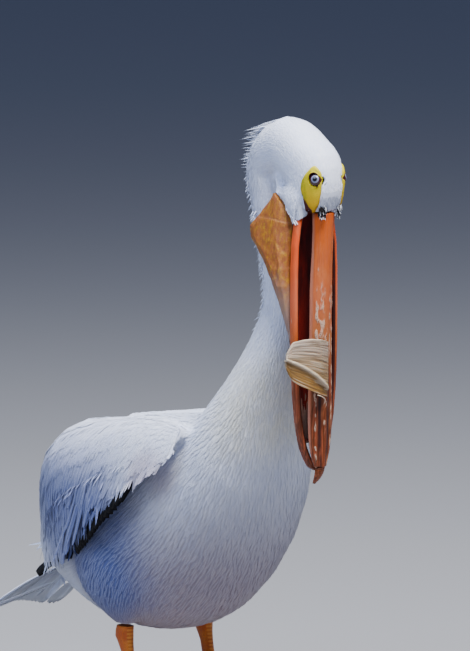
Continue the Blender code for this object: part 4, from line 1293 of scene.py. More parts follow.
# %% [markdown]
# ## Lower mandible
#
# Two springy bone branches carry the pouch. Their outer faces are orange-red and flushed with
# pink, with a shallow groove along the middle and a bright edge towards the mouth; lower down
# they turn brown. The mouth side is dark.

# %% Lower mandible
lower = remeshed("lower_bill", merged_copy("lower_mandible"), BILL_VOXEL, 2)
points = points_of(lower.data)
normals = normals_of(lower.data)
low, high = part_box("lower_mandible")
down = (high.z - points[:, 2]) / (high.z - low.z)
through = (points[:, 1] - low.y) / (high.y - low.y)  # 0 at the mouth's rim, 1 at the pouch
outward = np.sign(points[:, 0]) * normals[:, 0]
push(lower, -0.0005 * bell(through, 0.55, 0.16) * (outward > 0.2) + 0.00012 * lumps(points, (300, 300, 40)))
keep_numbers(lower, down=down, across=eased(outward, -0.15, -0.55),
             crust=0.5 * bell(through, 0.62, 0.16) * eased(down, 0.25, 0.5)
             * np.clip(lumps(points, (240, 240, 60), 5.0) + 0.1, 0, 1),
             stain=np.maximum(eased(outward, -0.1, -0.5), 0.5 * bell(through, 1.0, 0.12)))
lower.data.materials.append(bill_material("lower_horn", (
    (0.0, (0.66, 0.065, 0.006)), (0.20, (0.66, 0.085, 0.016)), (0.34, (0.62, 0.115, 0.045)),
    (0.48, (0.42, 0.085, 0.016)), (0.64, (0.15, 0.028, 0.004)), (1.0, (0.08, 0.014, 0.002))),
    (0.45, 0.95, (0.060, 0.004, 0.002))))
print("lower bill", len(lower.data.polygons), "faces")

# %% [markdown]
# ## Pouch
#
# An elastic bag of bare skin hangs between the branches, drawn up in fine folds that run down
# it. Above it is ochre, with brownish-pink streaks; lower down it is greyer, with a few dark
# spots. Its front is the inside of the mouth: dark red, and sunk between the branches.

# %% Pouch
POUCH_VOXEL = 0.0014
pouch = remeshed("pouch_skin", merged_copy("pouch"), POUCH_VOXEL, 3)
points = points_of(pouch.data)
normals = normals_of(pouch.data)
low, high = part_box("pouch")
down = (high.z - points[:, 2]) / (high.z - low.z)
reach = half_widths(points)
ramus_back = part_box("lower_mandible")[1].y
branch = points_of(lower.data)
branch_reach = np.interp(-points[:, 2], *outer_reach(branch))
mouth = eased(-normals[:, 1], 0.45, 0.8)
mouth *= eased(abs(points[:, 0]), branch_reach - 0.005, branch_reach - 0.009)
mouth *= eased(points[:, 2], BILL_TOP + 0.004, BILL_TOP - 0.004)
turn = np.arctan2(points[:, 0] / reach, (points[:, 1] - ramus_back) / 0.04)
sway = lumps(points, (18, 18, 9), 2.0)
folds = np.sin(turn * 26 + sway * 5.0) * 0.5 + np.sin(turn * 47 + sway * 9.0 + down * 7) * 0.3
fine = lumps(points, (520, 520, 70), 9.0)
crease = bell(down, 0.150 + 0.02 * np.sin(turn * 2.1), 0.004) * bell(turn, np.sign(turn) * 1.2, 0.6)
heights = (0.00045 * folds + 0.0002 * fine) * (1 - mouth) * eased(down, 0.0, 0.08)
heights -= 0.0003 * crease * (1 - mouth)
heights -= 0.0065 * mouth * (1 - bell(abs(points[:, 0]), reach, reach * 0.35))
heights -= 0.0035 * eased(above_apex(points), -0.0005, 0.002)  # it dips under the feathers at its top
push(pouch, heights)
keep_numbers(pouch, down=down, mouth=mouth, turn=turn, crease=crease)

pouch_finish, tree, shader = start_material("pouch_skin", 0.5, Subsurface_Weight=0.08, Subsurface_Scale=0.004,
                                            Specular_IOR_Level=0.3)
place = object_place(tree)
down = attribute(tree, "down")
blotches = stretched_noise(tree, place, (95, 95, 60), 5.0, roughness=0.7)
uneven_down = math_node(tree, "ADD", down, math_node(tree, "MULTIPLY_ADD", blotches, 0.24, -0.12))
colour = ramp(tree, uneven_down, (
    (0.0, (0.34, 0.145, 0.012)), (0.12, (0.32, 0.115, 0.010)), (0.34, (0.30, 0.105, 0.012)),
    (0.46, (0.31, 0.13, 0.020)), (0.56, (0.28, 0.17, 0.10)), (0.75, (0.27, 0.17, 0.13)),
    (1.0, (0.15, 0.06, 0.03))))
by_branch = smooth_step(tree, size_of(tree, attribute(tree, "turn")), 1.15, 2.0)
pink = math_node(tree, "MAXIMUM", product(tree, smooth_step(tree, blotches, 0.36, 0.58), 0.75),
                 product(tree, by_branch, 0.7))
colour = laid_over(tree, colour, (0.21, 0.060, 0.024), pink)
gold_grain = stretched_noise(tree, place, (210, 210, 120), 4.0, roughness=0.7)
gold = product(tree, smooth_step(tree, gold_grain, 0.50, 0.66), smooth_step(tree, down, 0.62, 0.45))
colour = laid_over(tree, colour, (0.40, 0.20, 0.002), gold, 0.75)
freckles = flecks(tree, place, (620, 620, 520), 0.06)
colour = laid_over(tree, colour, (0.16, 0.045, 0.014), freckles, 0.45)
veins = smooth_step(tree, stretched_noise(tree, place, (330, 330, 28), 5.0, roughness=0.65), 0.60, 0.68)
colour = laid_over(tree, colour, (0.20, 0.030, 0.015), veins, 0.5)
colour = laid_over(tree, colour, (0.58, 0.28, 0.18), attribute(tree, "crease"), 0.22)
grey = smooth_step(tree, uneven_down, 0.30, 0.50)
colour = laid_over(tree, colour, (0.30, 0.215, 0.185), grey, 0.72)
spots = product(tree, flecks(tree, place, (420, 420, 160), 0.06), band(tree, down, 0.64, 0.12))
colour = laid_over(tree, colour, (0.012, 0.008, 0.008), spots)
wet_grain = smooth_step(tree, stretched_noise(tree, place, (90, 90, 20), 3.0), 0.35, 0.65)
wet = laid_over(tree, (0.20, 0.008, 0.003), (0.06, 0.002, 0.001), wet_grain)
tree.links.new(laid_over(tree, colour, wet, attribute(tree, "mouth")), shader.inputs["Base Color"])
wrinkles = stretched_noise(tree, place, (900, 900, 160))
pores = product(tree, stretched_noise(tree, place, (1600, 1600, 1400)), 0.5)
wire_bump(tree, shader, math_node(tree, "ADD", wrinkles, pores), 0.35, 0.0008)
pouch.data.materials.append(pouch_finish)
print("pouch", len(pouch.data.polygons), "faces")

# %% [markdown]
# ## Breeding plate
#
# In the breeding season a fibrous plate grows on the culmen. On this bird it has flopped over
# to the right. It starts as a flat grid, which is bowed and drawn in to the plate's outline,
# and a Solidify modifier gives it its thickness. Its fibres fan out from the culmen, and a
# crease runs out along its lower part.

# %% Breeding plate
PLATE_EDGE = (  # share of the way out, then millimetres up and down from the root's top corner
    (0.0, 0, -66), (0.25, 4, -62), (0.5, 6, -56), (0.7, 5, -50), (0.85, 2, -44), (0.95, -4, -36),
    (1.0, -10, -28))
PLATE_ROOT, PLATE_BOW, PLATE_DROOP = 0.0140, 0.0090, 0.0090  # out from the mouth's plane
PLATE_THICK = 0.0024
CREASE_START, CREASE_RISE = 0.16, 0.38  # its height on the culmen, and its rise out to the edge
mouth_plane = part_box("bill_nail")[0].y + 0.00755
low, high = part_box("bill_horn")


def smooth_line(stations, column, shares, samples=240, width=21):
    """Values along a line of stations, with its corners rounded off."""
    stations = np.array(stations, float)
    dense = np.linspace(0, 1, samples)
    values = np.interp(dense, stations[:, 0], stations[:, column])
    padded = np.pad(values, width // 2, mode="reflect", reflect_type="odd")
    return np.interp(shares, dense, np.convolve(padded, np.ones(width) / width, "valid"))


bm = bmesh.new()
bmesh.ops.create_grid(bm, x_segments=84, y_segments=110, size=0.5)
reach = np.array([vert.co.x + 0.5 for vert in bm.verts])  # 0 on the culmen, 1 at the free edge
level = np.array([vert.co.y + 0.5 for vert in bm.verts])  # 0 below, 1 above
upper_edge, lower_edge = (smooth_line(PLATE_EDGE, column, reach) * MM for column in (1, 2))
fibre = np.stack([level * 26, reach * 1.6, np.zeros(len(reach))], 1)
ribs = np.array([noise.fractal(Vector(p), 1.0, 2.0, 4) for p in fibre])
crease_level = CREASE_START + CREASE_RISE * reach
crease = bell(level, crease_level, 0.030)
bow = PLATE_ROOT + PLATE_BOW * np.sin(np.pi * np.minimum(reach * 1.15, 1)) - PLATE_DROOP * reach**2
bow += 0.00035 * ribs + 0.0012 * crease - 0.0022 * eased(crease_level - level, 0.0, 0.10)
ends = np.sqrt(np.clip(1 - (2 * level - 1) ** 2, 0, 1))
far = reach * (1 - 0.08 * (1 - ends) * eased(reach, 0.7, 1.0))
for k, vert in enumerate(bm.verts):
    vert.co = (high.x - (high.x - low.x) * far[k], mouth_plane - bow[k],
               high.z + lower_edge[k] + (upper_edge[k] - lower_edge[k]) * level[k])
for label, values in (("level", level), ("reach", reach), ("ribs", ribs), ("crease", crease)):
    layer = bm.verts.layers.float.new(label)
    for k, vert in enumerate(bm.verts):
        vert[layer] = values[k]
plate = link_mesh("breeding_plate", mesh_from_bmesh("breeding_plate", bm))
plate.data.shade_smooth()
plate_wall = plate.modifiers.new("plate_wall", "SOLIDIFY")
plate_wall.thickness = PLATE_THICK
plate_wall.offset = 0

plate_finish, tree, shader = start_material("fibrous_horn", 0.55, Subsurface_Weight=0.1,
                                            Subsurface_Scale=0.003)
level_node, ribs_node = attribute(tree, "level"), attribute(tree, "ribs")
colour = ramp(tree, level_node, (
    (0.0, (0.30, 0.15, 0.03)), (0.20, (0.28, 0.17, 0.06)), (0.45, (0.27, 0.17, 0.08)),
    (0.62, (0.32, 0.22, 0.13)), (0.80, (0.36, 0.27, 0.20)), (0.97, (0.42, 0.32, 0.24)),
    (1.0, (0.60, 0.50, 0.36))))
crease_node = math_node(tree, "MULTIPLY_ADD", attribute(tree, "reach"), CREASE_RISE, CREASE_START)
under = smooth_step(tree, math_node(tree, "SUBTRACT", crease_node, level_node), -0.01, 0.05)
colour = laid_over(tree, colour, (0.24, 0.11, 0.012), under, 0.8)
dark = smooth_step(tree, ribs_node, 0.05, -0.45)
colour = laid_over(tree, colour, (0.11, 0.06, 0.022), dark, 0.6)
light = smooth_step(tree, ribs_node, 0.15, 0.5)
colour = laid_over(tree, colour, (0.46, 0.37, 0.28), light, 0.5)
colour = laid_over(tree, colour, (0.62, 0.52, 0.38), attribute(tree, "crease"), 0.7)
rim = smooth_step(tree, attribute(tree, "reach"), 0.955, 1.0)
tree.links.new(laid_over(tree, colour, (0.56, 0.47, 0.36), rim, 0.6), shader.inputs["Base Color"])
fibres = stretched_noise(tree, object_place(tree), (400, 400, 1500))
wire_bump(tree, shader, math_node(tree, "ADD", ribs_node, fibres), 0.3, 0.0006)
plate.data.materials.append(plate_finish)
print("plate", len(plate.data.polygons), "faces")

# %% [markdown]
# ## Eyes
#
# A pelican's eye is nearly a ball, of which only the clear front shows. The ball is spun with
# its pole on the line of sight, so that pupil, iris and rim are rings round the pole, and the
# clear front bulges a little. It looks ahead and slightly up.

# %% Eyes
GAZE = Vector((0.0072, -0.0050, 0.0022)).normalized()  # the left eye's
IRIS = math.radians(34)
EYE_RADIUS = (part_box("eye_left")[1].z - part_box("eye_left")[0].z) / 2
CORNEA_BULGE = 0.035
EYE_PLUG, PLUG_TAPER, PLUG_START = 0.0074, 0.9, 0.002  # the ball's hidden back is drawn in

eye_finish, tree, shader = start_material("eye", 0.3, Coat_Weight=0.35, Coat_Roughness=0.04)
sight = attribute(tree, "sight")  # degrees from the line of sight, over 90
place = object_place(tree)
iris = ramp(tree, sight, (
    (0.0, (0.0, 0.0, 0.0)), (0.175, (0.0, 0.0, 0.0)), (0.195, (0.07, 0.08, 0.14)),
    (0.25, (0.20, 0.21, 0.36)), (0.32, (0.26, 0.28, 0.44)), (0.350, (0.02, 0.012, 0.02)),
    (0.38, (0.04, 0.003, 0.003))))
grain = product(tree, stretched_noise(tree, place, (1800, 1800, 1800)), band(tree, sight, 0.26, 0.11))
tree.links.new(laid_over(tree, iris, (0.08, 0.10, 0.15), grain, 0.5), shader.inputs["Base Color"])

eyes = []
for label, side in SIDES:
    low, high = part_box("eye_" + label)
    gaze = Vector((GAZE.x * side, GAZE.y, GAZE.z))
    bm = bmesh.new()
    bmesh.ops.create_uvsphere(bm, u_segments=48, v_segments=40, radius=EYE_RADIUS)
    for vert in bm.verts:
        slope = vert.co.angle(Vector((0, 0, 1)), 0.0)
        vert.co *= 1 + CORNEA_BULGE * max(0.0, math.cos(min(slope / IRIS, 1) * math.pi / 2)) ** 1.5
        aside = max(math.hypot(vert.co.x, vert.co.y), 1e-6)
        plug = EYE_PLUG + PLUG_TAPER * min(vert.co.z + PLUG_START, 0)
        vert.co.xy *= min(1, max(plug, 0.0005) / aside)
    turn = gaze.to_track_quat("Z", "Y").to_matrix()
    bmesh.ops.rotate(bm, verts=bm.verts, cent=(0, 0, 0), matrix=turn)
    bmesh.ops.translate(bm, verts=bm.verts, vec=(Vector(low) + Vector(high)) / 2)
    eye = link_mesh("eyeball_" + label, mesh_from_bmesh("eyeball_" + label, bm))
    ways = unit(points_of(eye.data) - np.array((Vector(low) + Vector(high)) / 2))
    keep_numbers(eye, sight=np.degrees(np.arccos(np.clip(ways @ np.array(gaze), -1, 1))) / 90)
    eye.data.materials.append(eye_finish)
    eye.data.shade_smooth()
    eyes.append(eye)
print("eyes", len(eyes), "radius", round(EYE_RADIUS * 1000, 1), "mm")

# %% [markdown]
# ## Bare skin round the eye
#
# A ring of points takes the drop's outline, and rings inside it close in on the lids. Each
# point is laid on the head by a ray from the side. The outer rings dip under the feathers, the
# inner ones rise as a soft lid and then turn in to meet the eyeball. The lids' opening is
# round above and drawn out to a point below.

# %% Bare skin
OPENING = (  # of the lids, back and up from its own centre, in millimetres
    (6.1, 1.2), (4.9, 5.2), (0.5, 7.1), (-3.8, 4.8), (-4.9, 0.6), (-4.7, -4.4), (-3.0, -9.2), (1.2, -6.5),
    (4.6, -3.4))
OPENING_CENTRE = np.array((0.7, 1.9)) * MM  # from the eye's
RIM_POINTS, RIM_RINGS = 72, 16


def closed_curve(corners, count):
    """Count points on a smooth closed curve through the corners."""
    corners = np.array(corners, float)
    made = []
    for place in np.linspace(0, len(corners), count, endpoint=False):
        k, t = int(place), place - int(place)
        a, b, c, d = (corners[(k + step) % len(corners)] for step in (-1, 0, 1, 2))
        made.append(0.5 * (2 * b + (c - a) * t + (2 * a - 5 * b + 4 * c - d) * t**2
                           + (3 * b - a - 3 * c + d) * t**3))
    return np.array(made)


def by_turn(curve, centre, count):
    """The same curve, with its points at even angles round a centre."""
    offsets = curve - centre
    angle = np.unwrap(np.arctan2(offsets[:, 1], offsets[:, 0]))
    if angle[-1] < angle[0]:
        angle, offsets = angle[::-1], offsets[::-1]
    reach = np.linalg.norm(offsets, axis=1)
    turns = np.linspace(-math.pi, math.pi, count, endpoint=False)
    wrapped = np.interp(turns, *zip(*sorted(zip((angle + math.pi) % (2 * math.pi) - math.pi, reach))),
                        period=2 * math.pi)
    return turns, wrapped


turns, opening = by_turn(closed_curve(OPENING, 400) * MM, (0, 0), RIM_POINTS)
_, outline = by_turn(closed_curve(DROP, 800) * MM, OPENING_CENTRE, RIM_POINTS)
SKIN_FOLD = 0.0009  # thickness of the bare skin's sheet
SKIN_LIFT, LID_LIFT, GAPE_DEPTH = 0.0003, 0.0009, 0.0012  # over the head's solid, or under it
LID_WIDTH, LID_TAPER = 0.0013, 0.0004  # the lid is wider behind by the taper, and narrower in front
LID_INNER, LID_OUTER = 0.0130, 0.0150  # it fades between these reaches to the side, at the forehead
RIM_WIDTH, RIM_DEPTH, FRONT_DEPTH = 0.0012, 0.0014, 0.0012  # the outer edge dips in, most in front
LID_TURN = 0.93  # the lid's inner edge, as a share of the opening
RAY_LENGTH, FACE_REACH = 0.05, 0.045  # rays start this far out; where one misses, the nearest place is used
bare_skins = []
for label, side in SIDES:
    low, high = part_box("eye_" + label)
    ball = (Vector(low) + Vector(high)) / 2
    way = Vector((EYE_WAY.x * side, EYE_WAY.y, 0))
    back_way = Vector((-EYE_WAY.y * side, EYE_WAY.x, 0))
    bm = bmesh.new()
    front, back, numbers = [], [], []
    for ring in range(RIM_RINGS + 2):
        share = min(ring / RIM_RINGS, 1)
        faces, backs = [], []
        for turn, outer, inner in zip(turns, outline, opening):
            reach = outer + (inner - outer) * share**0.8
            if ring > RIM_RINGS:  # the lid's edge turns in to the ball
                reach = inner * LID_TURN
            flat = OPENING_CENTRE + np.array((reach * math.cos(turn), reach * math.sin(turn)))
            start = ball + way * RAY_LENGTH + back_way * flat[0] + Vector((0, 0, flat[1]))
            hit, normal, _, _ = flesh_trees["head"].ray_cast(start, -way)
            if hit is None:
                hit, normal, _, _ = flesh_trees["head"].find_nearest(start - way * FACE_REACH)
            lid = math.exp(-((reach - inner) / (LID_WIDTH + LID_TAPER * math.cos(turn))) ** 2)
            lid *= min(1.0, max(0.0, (abs(hit.x) - LID_INNER) / (LID_OUTER - LID_INNER)))
            edge = math.exp(-((outer - reach) / RIM_WIDTH) ** 2)
            mouth = float(inside_outline(flat[None], GAPE)[0])
            sunk = RIM_DEPTH + FRONT_DEPTH * max(0.0, -math.cos(turn))
            spot = hit + normal * (SKIN_LIFT + LID_LIFT * lid - sunk * edge - GAPE_DEPTH * mouth)
            if ring > RIM_RINGS:
                rest = math.sqrt(max((EYE_RADIUS - 0.0004) ** 2 - float(flat @ flat), 1e-8))
                spot = ball + way * rest + back_way * flat[0] + Vector((0, 0, flat[1]))
            faces.append(bm.verts.new(spot))
            backs.append(bm.verts.new(spot - normal * SKIN_FOLD))
            numbers += [(lid, mouth)] * 2
        front.append(faces)
        back.append(backs)
    loops = front + back[::-1]
    for first, second in zip(loops, loops[1:] + loops[:1]):
        for k in range(RIM_POINTS):
            m = (k + 1) % RIM_POINTS
            bm.faces.new((first[k], first[m], second[m], second[k]))
    bmesh.ops.recalc_face_normals(bm, faces=bm.faces)
    piece = link_mesh("eye_skin_" + label, mesh_from_bmesh("eye_skin_" + label, bm))
    keep_numbers(piece, lid=[pair[0] for pair in numbers], gape=[pair[1] for pair in numbers])
    piece.data.shade_smooth()
    bare_skins.append(piece)
print("bare skin", len(bare_skins[0].data.polygons), "faces on each side")

# %% Bare skin finish
bare_finish, tree, shader = start_material("eye_ring_skin", 0.5, Specular_IOR_Level=0.25)
place = object_place(tree)
_, back, up = place_node(tree, "ShaderNodeSeparateXYZ", {"Vector": place}).outputs
level = place_node(tree, "ShaderNodeMapRange", {
    "Value": up, "From Min": EYE.z - 0.040, "From Max": EYE.z + 0.018}).outputs["Result"]
patchy = stretched_noise(tree, place, (150, 150, 150), 3.0)
colour = ramp(tree, math_node(tree, "ADD", level, math_node(tree, "MULTIPLY_ADD", patchy, 0.3, -0.15)), (
    (0.0, (0.56, 0.26, 0.0)), (0.25, (0.58, 0.36, 0.0)), (0.6, (0.50, 0.40, 0.0)), (1.0, (0.50, 0.44, 0.0))))
olive = product(tree, smooth_step(tree, back, EYE.y + 0.004, EYE.y + 0.014),
                smooth_step(tree, patchy, 0.35, 0.6))
colour = laid_over(tree, colour, (0.26, 0.29, 0.0), olive, 0.6)
colour = laid_over(tree, colour, (0.30, 0.20, 0.02), flecks(tree, place, (900, 900, 900), 0.0), 0.4)
colour = laid_over(tree, colour, (0.055, 0.003, 0.001), smooth_step(tree, attribute(tree, "gape"), 0.3, 0.7))
colour = laid_over(tree, colour, (0.035, 0.002, 0.003), smooth_step(tree, attribute(tree, "lid"), 0.50, 0.72))
tree.links.new(colour, shader.inputs["Base Color"])
wire_bump(tree, shader, stretched_noise(tree, place, (1100, 1100, 1100), 3.0), 0.4, 0.0006)
for piece in bare_skins:
    piece.data.materials.append(bare_finish)

# %% [markdown]
# ## Legs and feet
#
# A pelican walks on all four toes, which one web joins. Leg and foot are remeshed as one piece,
# so no seam is left at the ankle. Square scutes cross the front of the leg and the backs of
# the toes, and the web is thrown into faint folds that run out between them. The claws are
# cones bent down.

# %% Legs
Toe = namedtuple("Toe", "turn reach")  # degrees outwards from straight ahead, and metres from the ankle
TOES = (Toe(-112, 0.060), Toe(-34, 0.098), Toe(4, 0.116), Toe(36, 0.108))
LEG_VOXEL = 0.0010
SCUTE, TOE_SCUTE = 0.0046, 0.0034  # height of one
CLAW_LENGTH, CLAW_RADIUS, CLAW_DROP = 0.0095, 0.0021, 0.0020
CLAW_ROOT, CLAW_HEIGHT = 0.93, 0.0030  # where a claw starts: share of the toe's reach, and height
ANKLE_OUT, ANKLE_BACK = 0.0014, 0.0105  # from the tarsus's middle and from its front
ANKLE_LEVELS = (0.013, 0.020)  # the toes' relief gives way to the leg's between these heights
TOE_WIDTH, WEB_EDGE = 0.0040, 0.0065


def horn_tip(bm, root, tip, radius, bow, flat=1.0):
    """Adds a cone from root to tip, bowed sideways, to a bmesh."""
    cone = bmesh.new()
    bmesh.ops.create_cone(cone, cap_ends=True, segments=12, radius1=radius, radius2=radius * 0.12, depth=1.0)
    sides = [edge for edge in cone.edges if abs(edge.verts[0].co.z - edge.verts[1].co.z) > 0.5]
    bmesh.ops.subdivide_edges(cone, edges=sides, cuts=8)
    turn = (tip - root).to_track_quat("Z", "Y").to_matrix()
    for vert in cone.verts:
        share = vert.co.z + 0.5
        offset = turn @ Vector((vert.co.x, vert.co.y * flat, 0))
        vert.co = root.lerp(tip, share) + bow * (4 * share * (1 - share)) + offset
    bmesh.ops.recalc_face_normals(cone, faces=cone.faces)
    part = mesh_from_bmesh("horn_tip", cone)
    bm.from_mesh(part)
    bpy.data.meshes.remove(part)


legs, claws = [], []
for label, side in SIDES:
    leg = remeshed("leg_" + label, merged_copy("tarsus_" + label, "foot_" + label), LEG_VOXEL, 2)
    points = points_of(leg.data)
    normals = normals_of(leg.data)
    low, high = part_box("tarsus_" + label)
    ankle = np.array([(low.x + high.x) / 2 + ANKLE_OUT * side, low.y + ANKLE_BACK, 0])
    offset = points - ankle
    distance = np.linalg.norm(offset[:, :2], axis=1)
    turn = np.degrees(np.arctan2(offset[:, 0] * side, -offset[:, 1]))
    on_leg = eased(points[:, 2], *ANKLE_LEVELS)
    beside_toe = np.min([abs(turn - toe.turn) * np.radians(1) * distance for toe in TOES], axis=0)
    on_toe = bell(beside_toe, 0, TOE_WIDTH) * (1 - on_leg) * (normals[:, 2] > 0.1)
    front = np.clip(-normals[:, 1], 0, 1) * on_leg
    scutes = (front * abs(np.sin(points[:, 2] * np.pi / SCUTE)) ** 0.4
              + on_toe * abs(np.sin(distance * np.pi / TOE_SCUTE)) ** 0.4)
    web = (1 - on_leg) * (1 - bell(beside_toe, 0, WEB_EDGE)) * (normals[:, 2] > 0.3)
    folds = np.sin(turn * 0.55 + 2 * np.sin(distance * 60)) * eased(distance, 0.02, 0.05)
    push(leg, 0.00045 * scutes + 0.00022 * web * folds + 0.0011 * on_toe * bell(beside_toe, 0, 0.003))
    keep_numbers(leg, scutes=scutes, web=web)
    leg.data.shade_smooth()
    legs.append(leg)
    bm = bmesh.new()
    for toe in TOES:
        way = Vector((math.sin(math.radians(toe.turn)) * side, -math.cos(math.radians(toe.turn)), 0))
        root = Vector(ankle) + way * (toe.reach * CLAW_ROOT) + Vector((0, 0, CLAW_HEIGHT))
        tip = root + way * CLAW_LENGTH + Vector((0, 0, -CLAW_DROP))
        horn_tip(bm, root, tip, CLAW_RADIUS, Vector((0, 0, 0.0012)))
    claw = link_mesh("claws_" + label, mesh_from_bmesh("claws_" + label, bm))
    claw.data.shade_smooth()
    claws.append(claw)

leg_finish, tree, shader = start_material("leg_skin", 0.45, Specular_IOR_Level=0.35)
place = object_place(tree)
cells = place_node(tree, "ShaderNodeTexVoronoi", {"Vector": place, "Scale": 520.0},
                   feature="DISTANCE_TO_EDGE")
seams = smooth_step(tree, cells.outputs["Distance"], 0.10, 0.02)
blotch = stretched_noise(tree, place, (70, 70, 70), 4.0)
colour = laid_over(tree, (0.62, 0.17, 0.008), (0.50, 0.09, 0.006), smooth_step(tree, blotch, 0.35, 0.65))
colour = laid_over(tree, colour, (0.60, 0.24, 0.02), attribute(tree, "web"), 0.5)
colour = laid_over(tree, colour, (0.20, 0.04, 0.008), seams, 0.5)
colour = laid_over(tree, colour, (0.66, 0.24, 0.03), smooth_step(tree, attribute(tree, "scutes"), 0.55, 0.95))
tree.links.new(colour, shader.inputs["Base Color"])
wire_bump(tree, shader, product(tree, seams, -1.0), 0.5, 0.0006)
claw_finish, tree, shader = start_material("claw_horn", 0.35)
streak = stretched_noise(tree, object_place(tree), (900, 900, 900), 2.0)
tree.links.new(laid_over(tree, (0.10, 0.055, 0.035), (0.22, 0.14, 0.09), streak), shader.inputs["Base Color"])
for leg, claw in zip(legs, claws):
    leg.data.materials.append(leg_finish)
    claw.data.materials.append(claw_finish)
print("leg", len(legs[0].data.polygons), "faces, claws", len(claws[0].data.polygons))

# %% [markdown]
# The plate's lowest fibres have split off and curl away below it, as a thin hooked strip.

# %% Curled strip
STRIP_ROOT, STRIP_TIP = Vector((-0.0190, -0.3135, 0.4350)), Vector((-0.0085, -0.3150, 0.4195))
STRIP_RADIUS, STRIP_FLATNESS, STRIP_BOW = 0.0016, 0.5, Vector((0.0042, -0.0010, 0.0020))
bm = bmesh.new()
horn_tip(bm, STRIP_ROOT, STRIP_TIP, STRIP_RADIUS, STRIP_BOW, STRIP_FLATNESS)
strip = link_mesh("plate_strip", mesh_from_bmesh("plate_strip", bm))
strip.data.shade_smooth()
keep_numbers(strip, **{name: np.full(len(strip.data.vertices), value) for name, value in (
    ("level", 0.98), ("reach", 0.3), ("ribs", 0.0), ("crease", 0.0))})
strip.data.materials.append(plate_finish)

# %% [markdown]
# ## Tufts at the bill's base
#
# Feathers run on over the bill's root in two places. The white cheek ends in a soft lobe that
# covers the top of the lower bill, and short tufts between the eye's skin and the upper bill
# are flecked with black.

# %% Tufts
LOBE_LINE = np.array(((0.0235, -0.2720), (0.0266, -0.2790), (0.0262, -0.2870), (0.0190, -0.2906)))
LOBE_MIDDLE = np.array((0.0205, -0.2800))
LOBE_TUFTS, SPECKLE_TUFTS = 320, 90
LOBE_ROOTS = (0.6440, 0.6600)  # heights of the lobe's roots
LOBE_TIP, LOBE_CURVE, LOBE_LONGEST = 0.6395, 0.0085, 0.0125  # its lowest tip, the rise to its ends
SPECKLE_SIDE, SPECKLE_LEVELS, SPECKLE_LOWEST = (0.0085, 0.0165), (0.6475, 0.6600), 0.6515
SPECKLE_FRONT = -0.3050  # where a ray misses the head
share = rng.uniform(0, 1, LOBE_TUFTS)
line = np.stack([np.interp(share, (0, 0.35, 0.7, 1), LOBE_LINE[:, k]) for k in (0, 1)], 1)
line += (line - LOBE_MIDDLE) * rng.uniform(-0.06, 0.10, (LOBE_TUFTS, 1))
root_level = rng.uniform(*LOBE_ROOTS, LOBE_TUFTS)
tip_level = LOBE_TIP + LOBE_CURVE * (2 * abs(share - 0.55)) ** 1.6 + rng.uniform(0, 0.0012, LOBE_TUFTS)
tip_level = np.maximum(tip_level, root_level - LOBE_LONGEST)
lobe_roots = np.hstack([line, root_level[:, None]])
lobe_out = unit(np.hstack([line - LOBE_MIDDLE, np.zeros((LOBE_TUFTS, 1))]))
speckle_roots = []
speckle_sides = rng.uniform(*SPECKLE_SIDE, SPECKLE_TUFTS)
for x, z in zip(speckle_sides, rng.uniform(*SPECKLE_LEVELS, SPECKLE_TUFTS)):
    hit = flesh_trees["head"].ray_cast(Vector((x, -0.4, max(z, SPECKLE_LOWEST))), Vector((0, 1, 0)))[0]
    speckle_roots.append((x, hit.y if hit else SPECKLE_FRONT, z))
speckle_roots = np.array(speckle_roots)
tufts, speckles = [], []
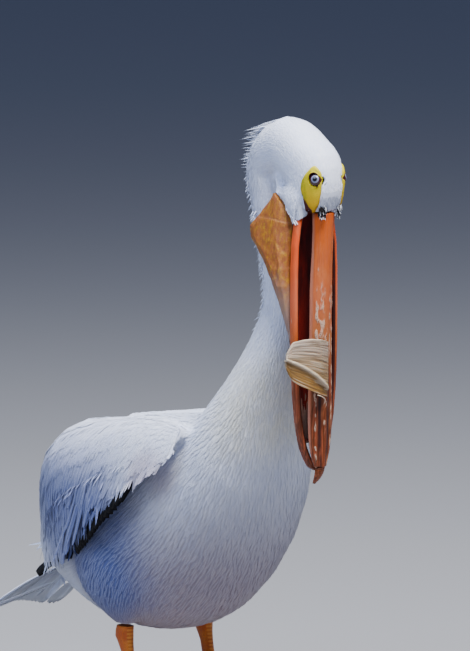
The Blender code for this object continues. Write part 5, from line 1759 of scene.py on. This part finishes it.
for label, side in SIDES:
    mirror = np.array([side, 1, 1])
    for made, name, roots, outs, lengths, width in (
            (tufts, "cheek_lobe_", lobe_roots, lobe_out, root_level - tip_level, 0.0022),
            (speckles, "speckled_tufts_", speckle_roots, np.tile((0.25, -1.0, 0.1), (SPECKLE_TUFTS, 1)),
             rng.uniform(0.004, 0.0075, SPECKLE_TUFTS), 0.0012)):
        count = len(roots)
        spots = spots_of(roots * mirror)
        ways = np.tile((0, -0.03, -1.0), (count, 1)) + rng.normal(0, 0.035, (count, 3))
        made.append(link_mesh(name + label, vanes(
            name + label, roots * mirror, unit(outs) * mirror, ways * mirror, lengths,
            np.full(count, width), rng.uniform(0.0002, 0.0010, count), rng.uniform(0, 1, count), spots, TUFT,
            None, sink=0.0, bend=0.3)))
    tufts[-1].data.materials.append(white_plumage)

speckled, tree, shader = start_material("speckled_plumage", 0.7, Specular_IOR_Level=0.25)
dark_tuft = smooth_step(tree, attribute(tree, "tone"), 0.20, 0.24)
tree.links.new(laid_over(tree, WHITE, (0.012, 0.010, 0.012), dark_tuft), shader.inputs["Base Color"])
wire_bump(tree, shader, stretched_noise(tree, object_place(tree), (1400, 1400, 500)), 0.3, 0.0004)
for piece in speckles:
    piece.data.materials.append(speckled)
print(LOBE_TUFTS, "tufts in each lobe,", SPECKLE_TUFTS, "speckled ones")

# %% [markdown]
# ## Putting the pieces on the frame
#
# The bird is one rigid model, so every piece rides on its one body. The pieces are grouped by
# the finish slot that they belong to, and the plain solids that each piece stands for are hidden.

# %% Riding, slots and replaced solids
feathers = [skin, tail, crest] + coats + coverts + tufts + speckles
stands_for = {
    skin: FLESH, tail: ("tail",), crest: ("crest",), upper: ("upper_mandible",), lower: ("lower_mandible",),
    nail: ("bill_nail",), pouch: ("pouch",), plate: ("bill_horn",), eyes[0]: ("eye_left",),
    eyes[1]: ("eye_right",)}
stands_for.update({piece: (piece.name.replace("_feathers", ""),) for piece in quills})
stands_for.update({leg: ("tarsus_" + label, "foot_" + label) for leg, (label, _) in zip(legs, SIDES)})
slots = {"plumage": feathers, "quills": quills, "bill_horn": [upper, nail], "mandible": [lower],
         "pouch_skin": [pouch] + bare_skins, "nuptial_plate": [plate, strip], "eye": eyes,
         "leg_skin": legs + claws}
for slot, pieces in slots.items():
    for piece in pieces:
        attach(piece, "root")
for piece, solids in stands_for.items():
    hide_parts(*solids)
print("pieces", sum(len(pieces) for pieces in slots.values()))
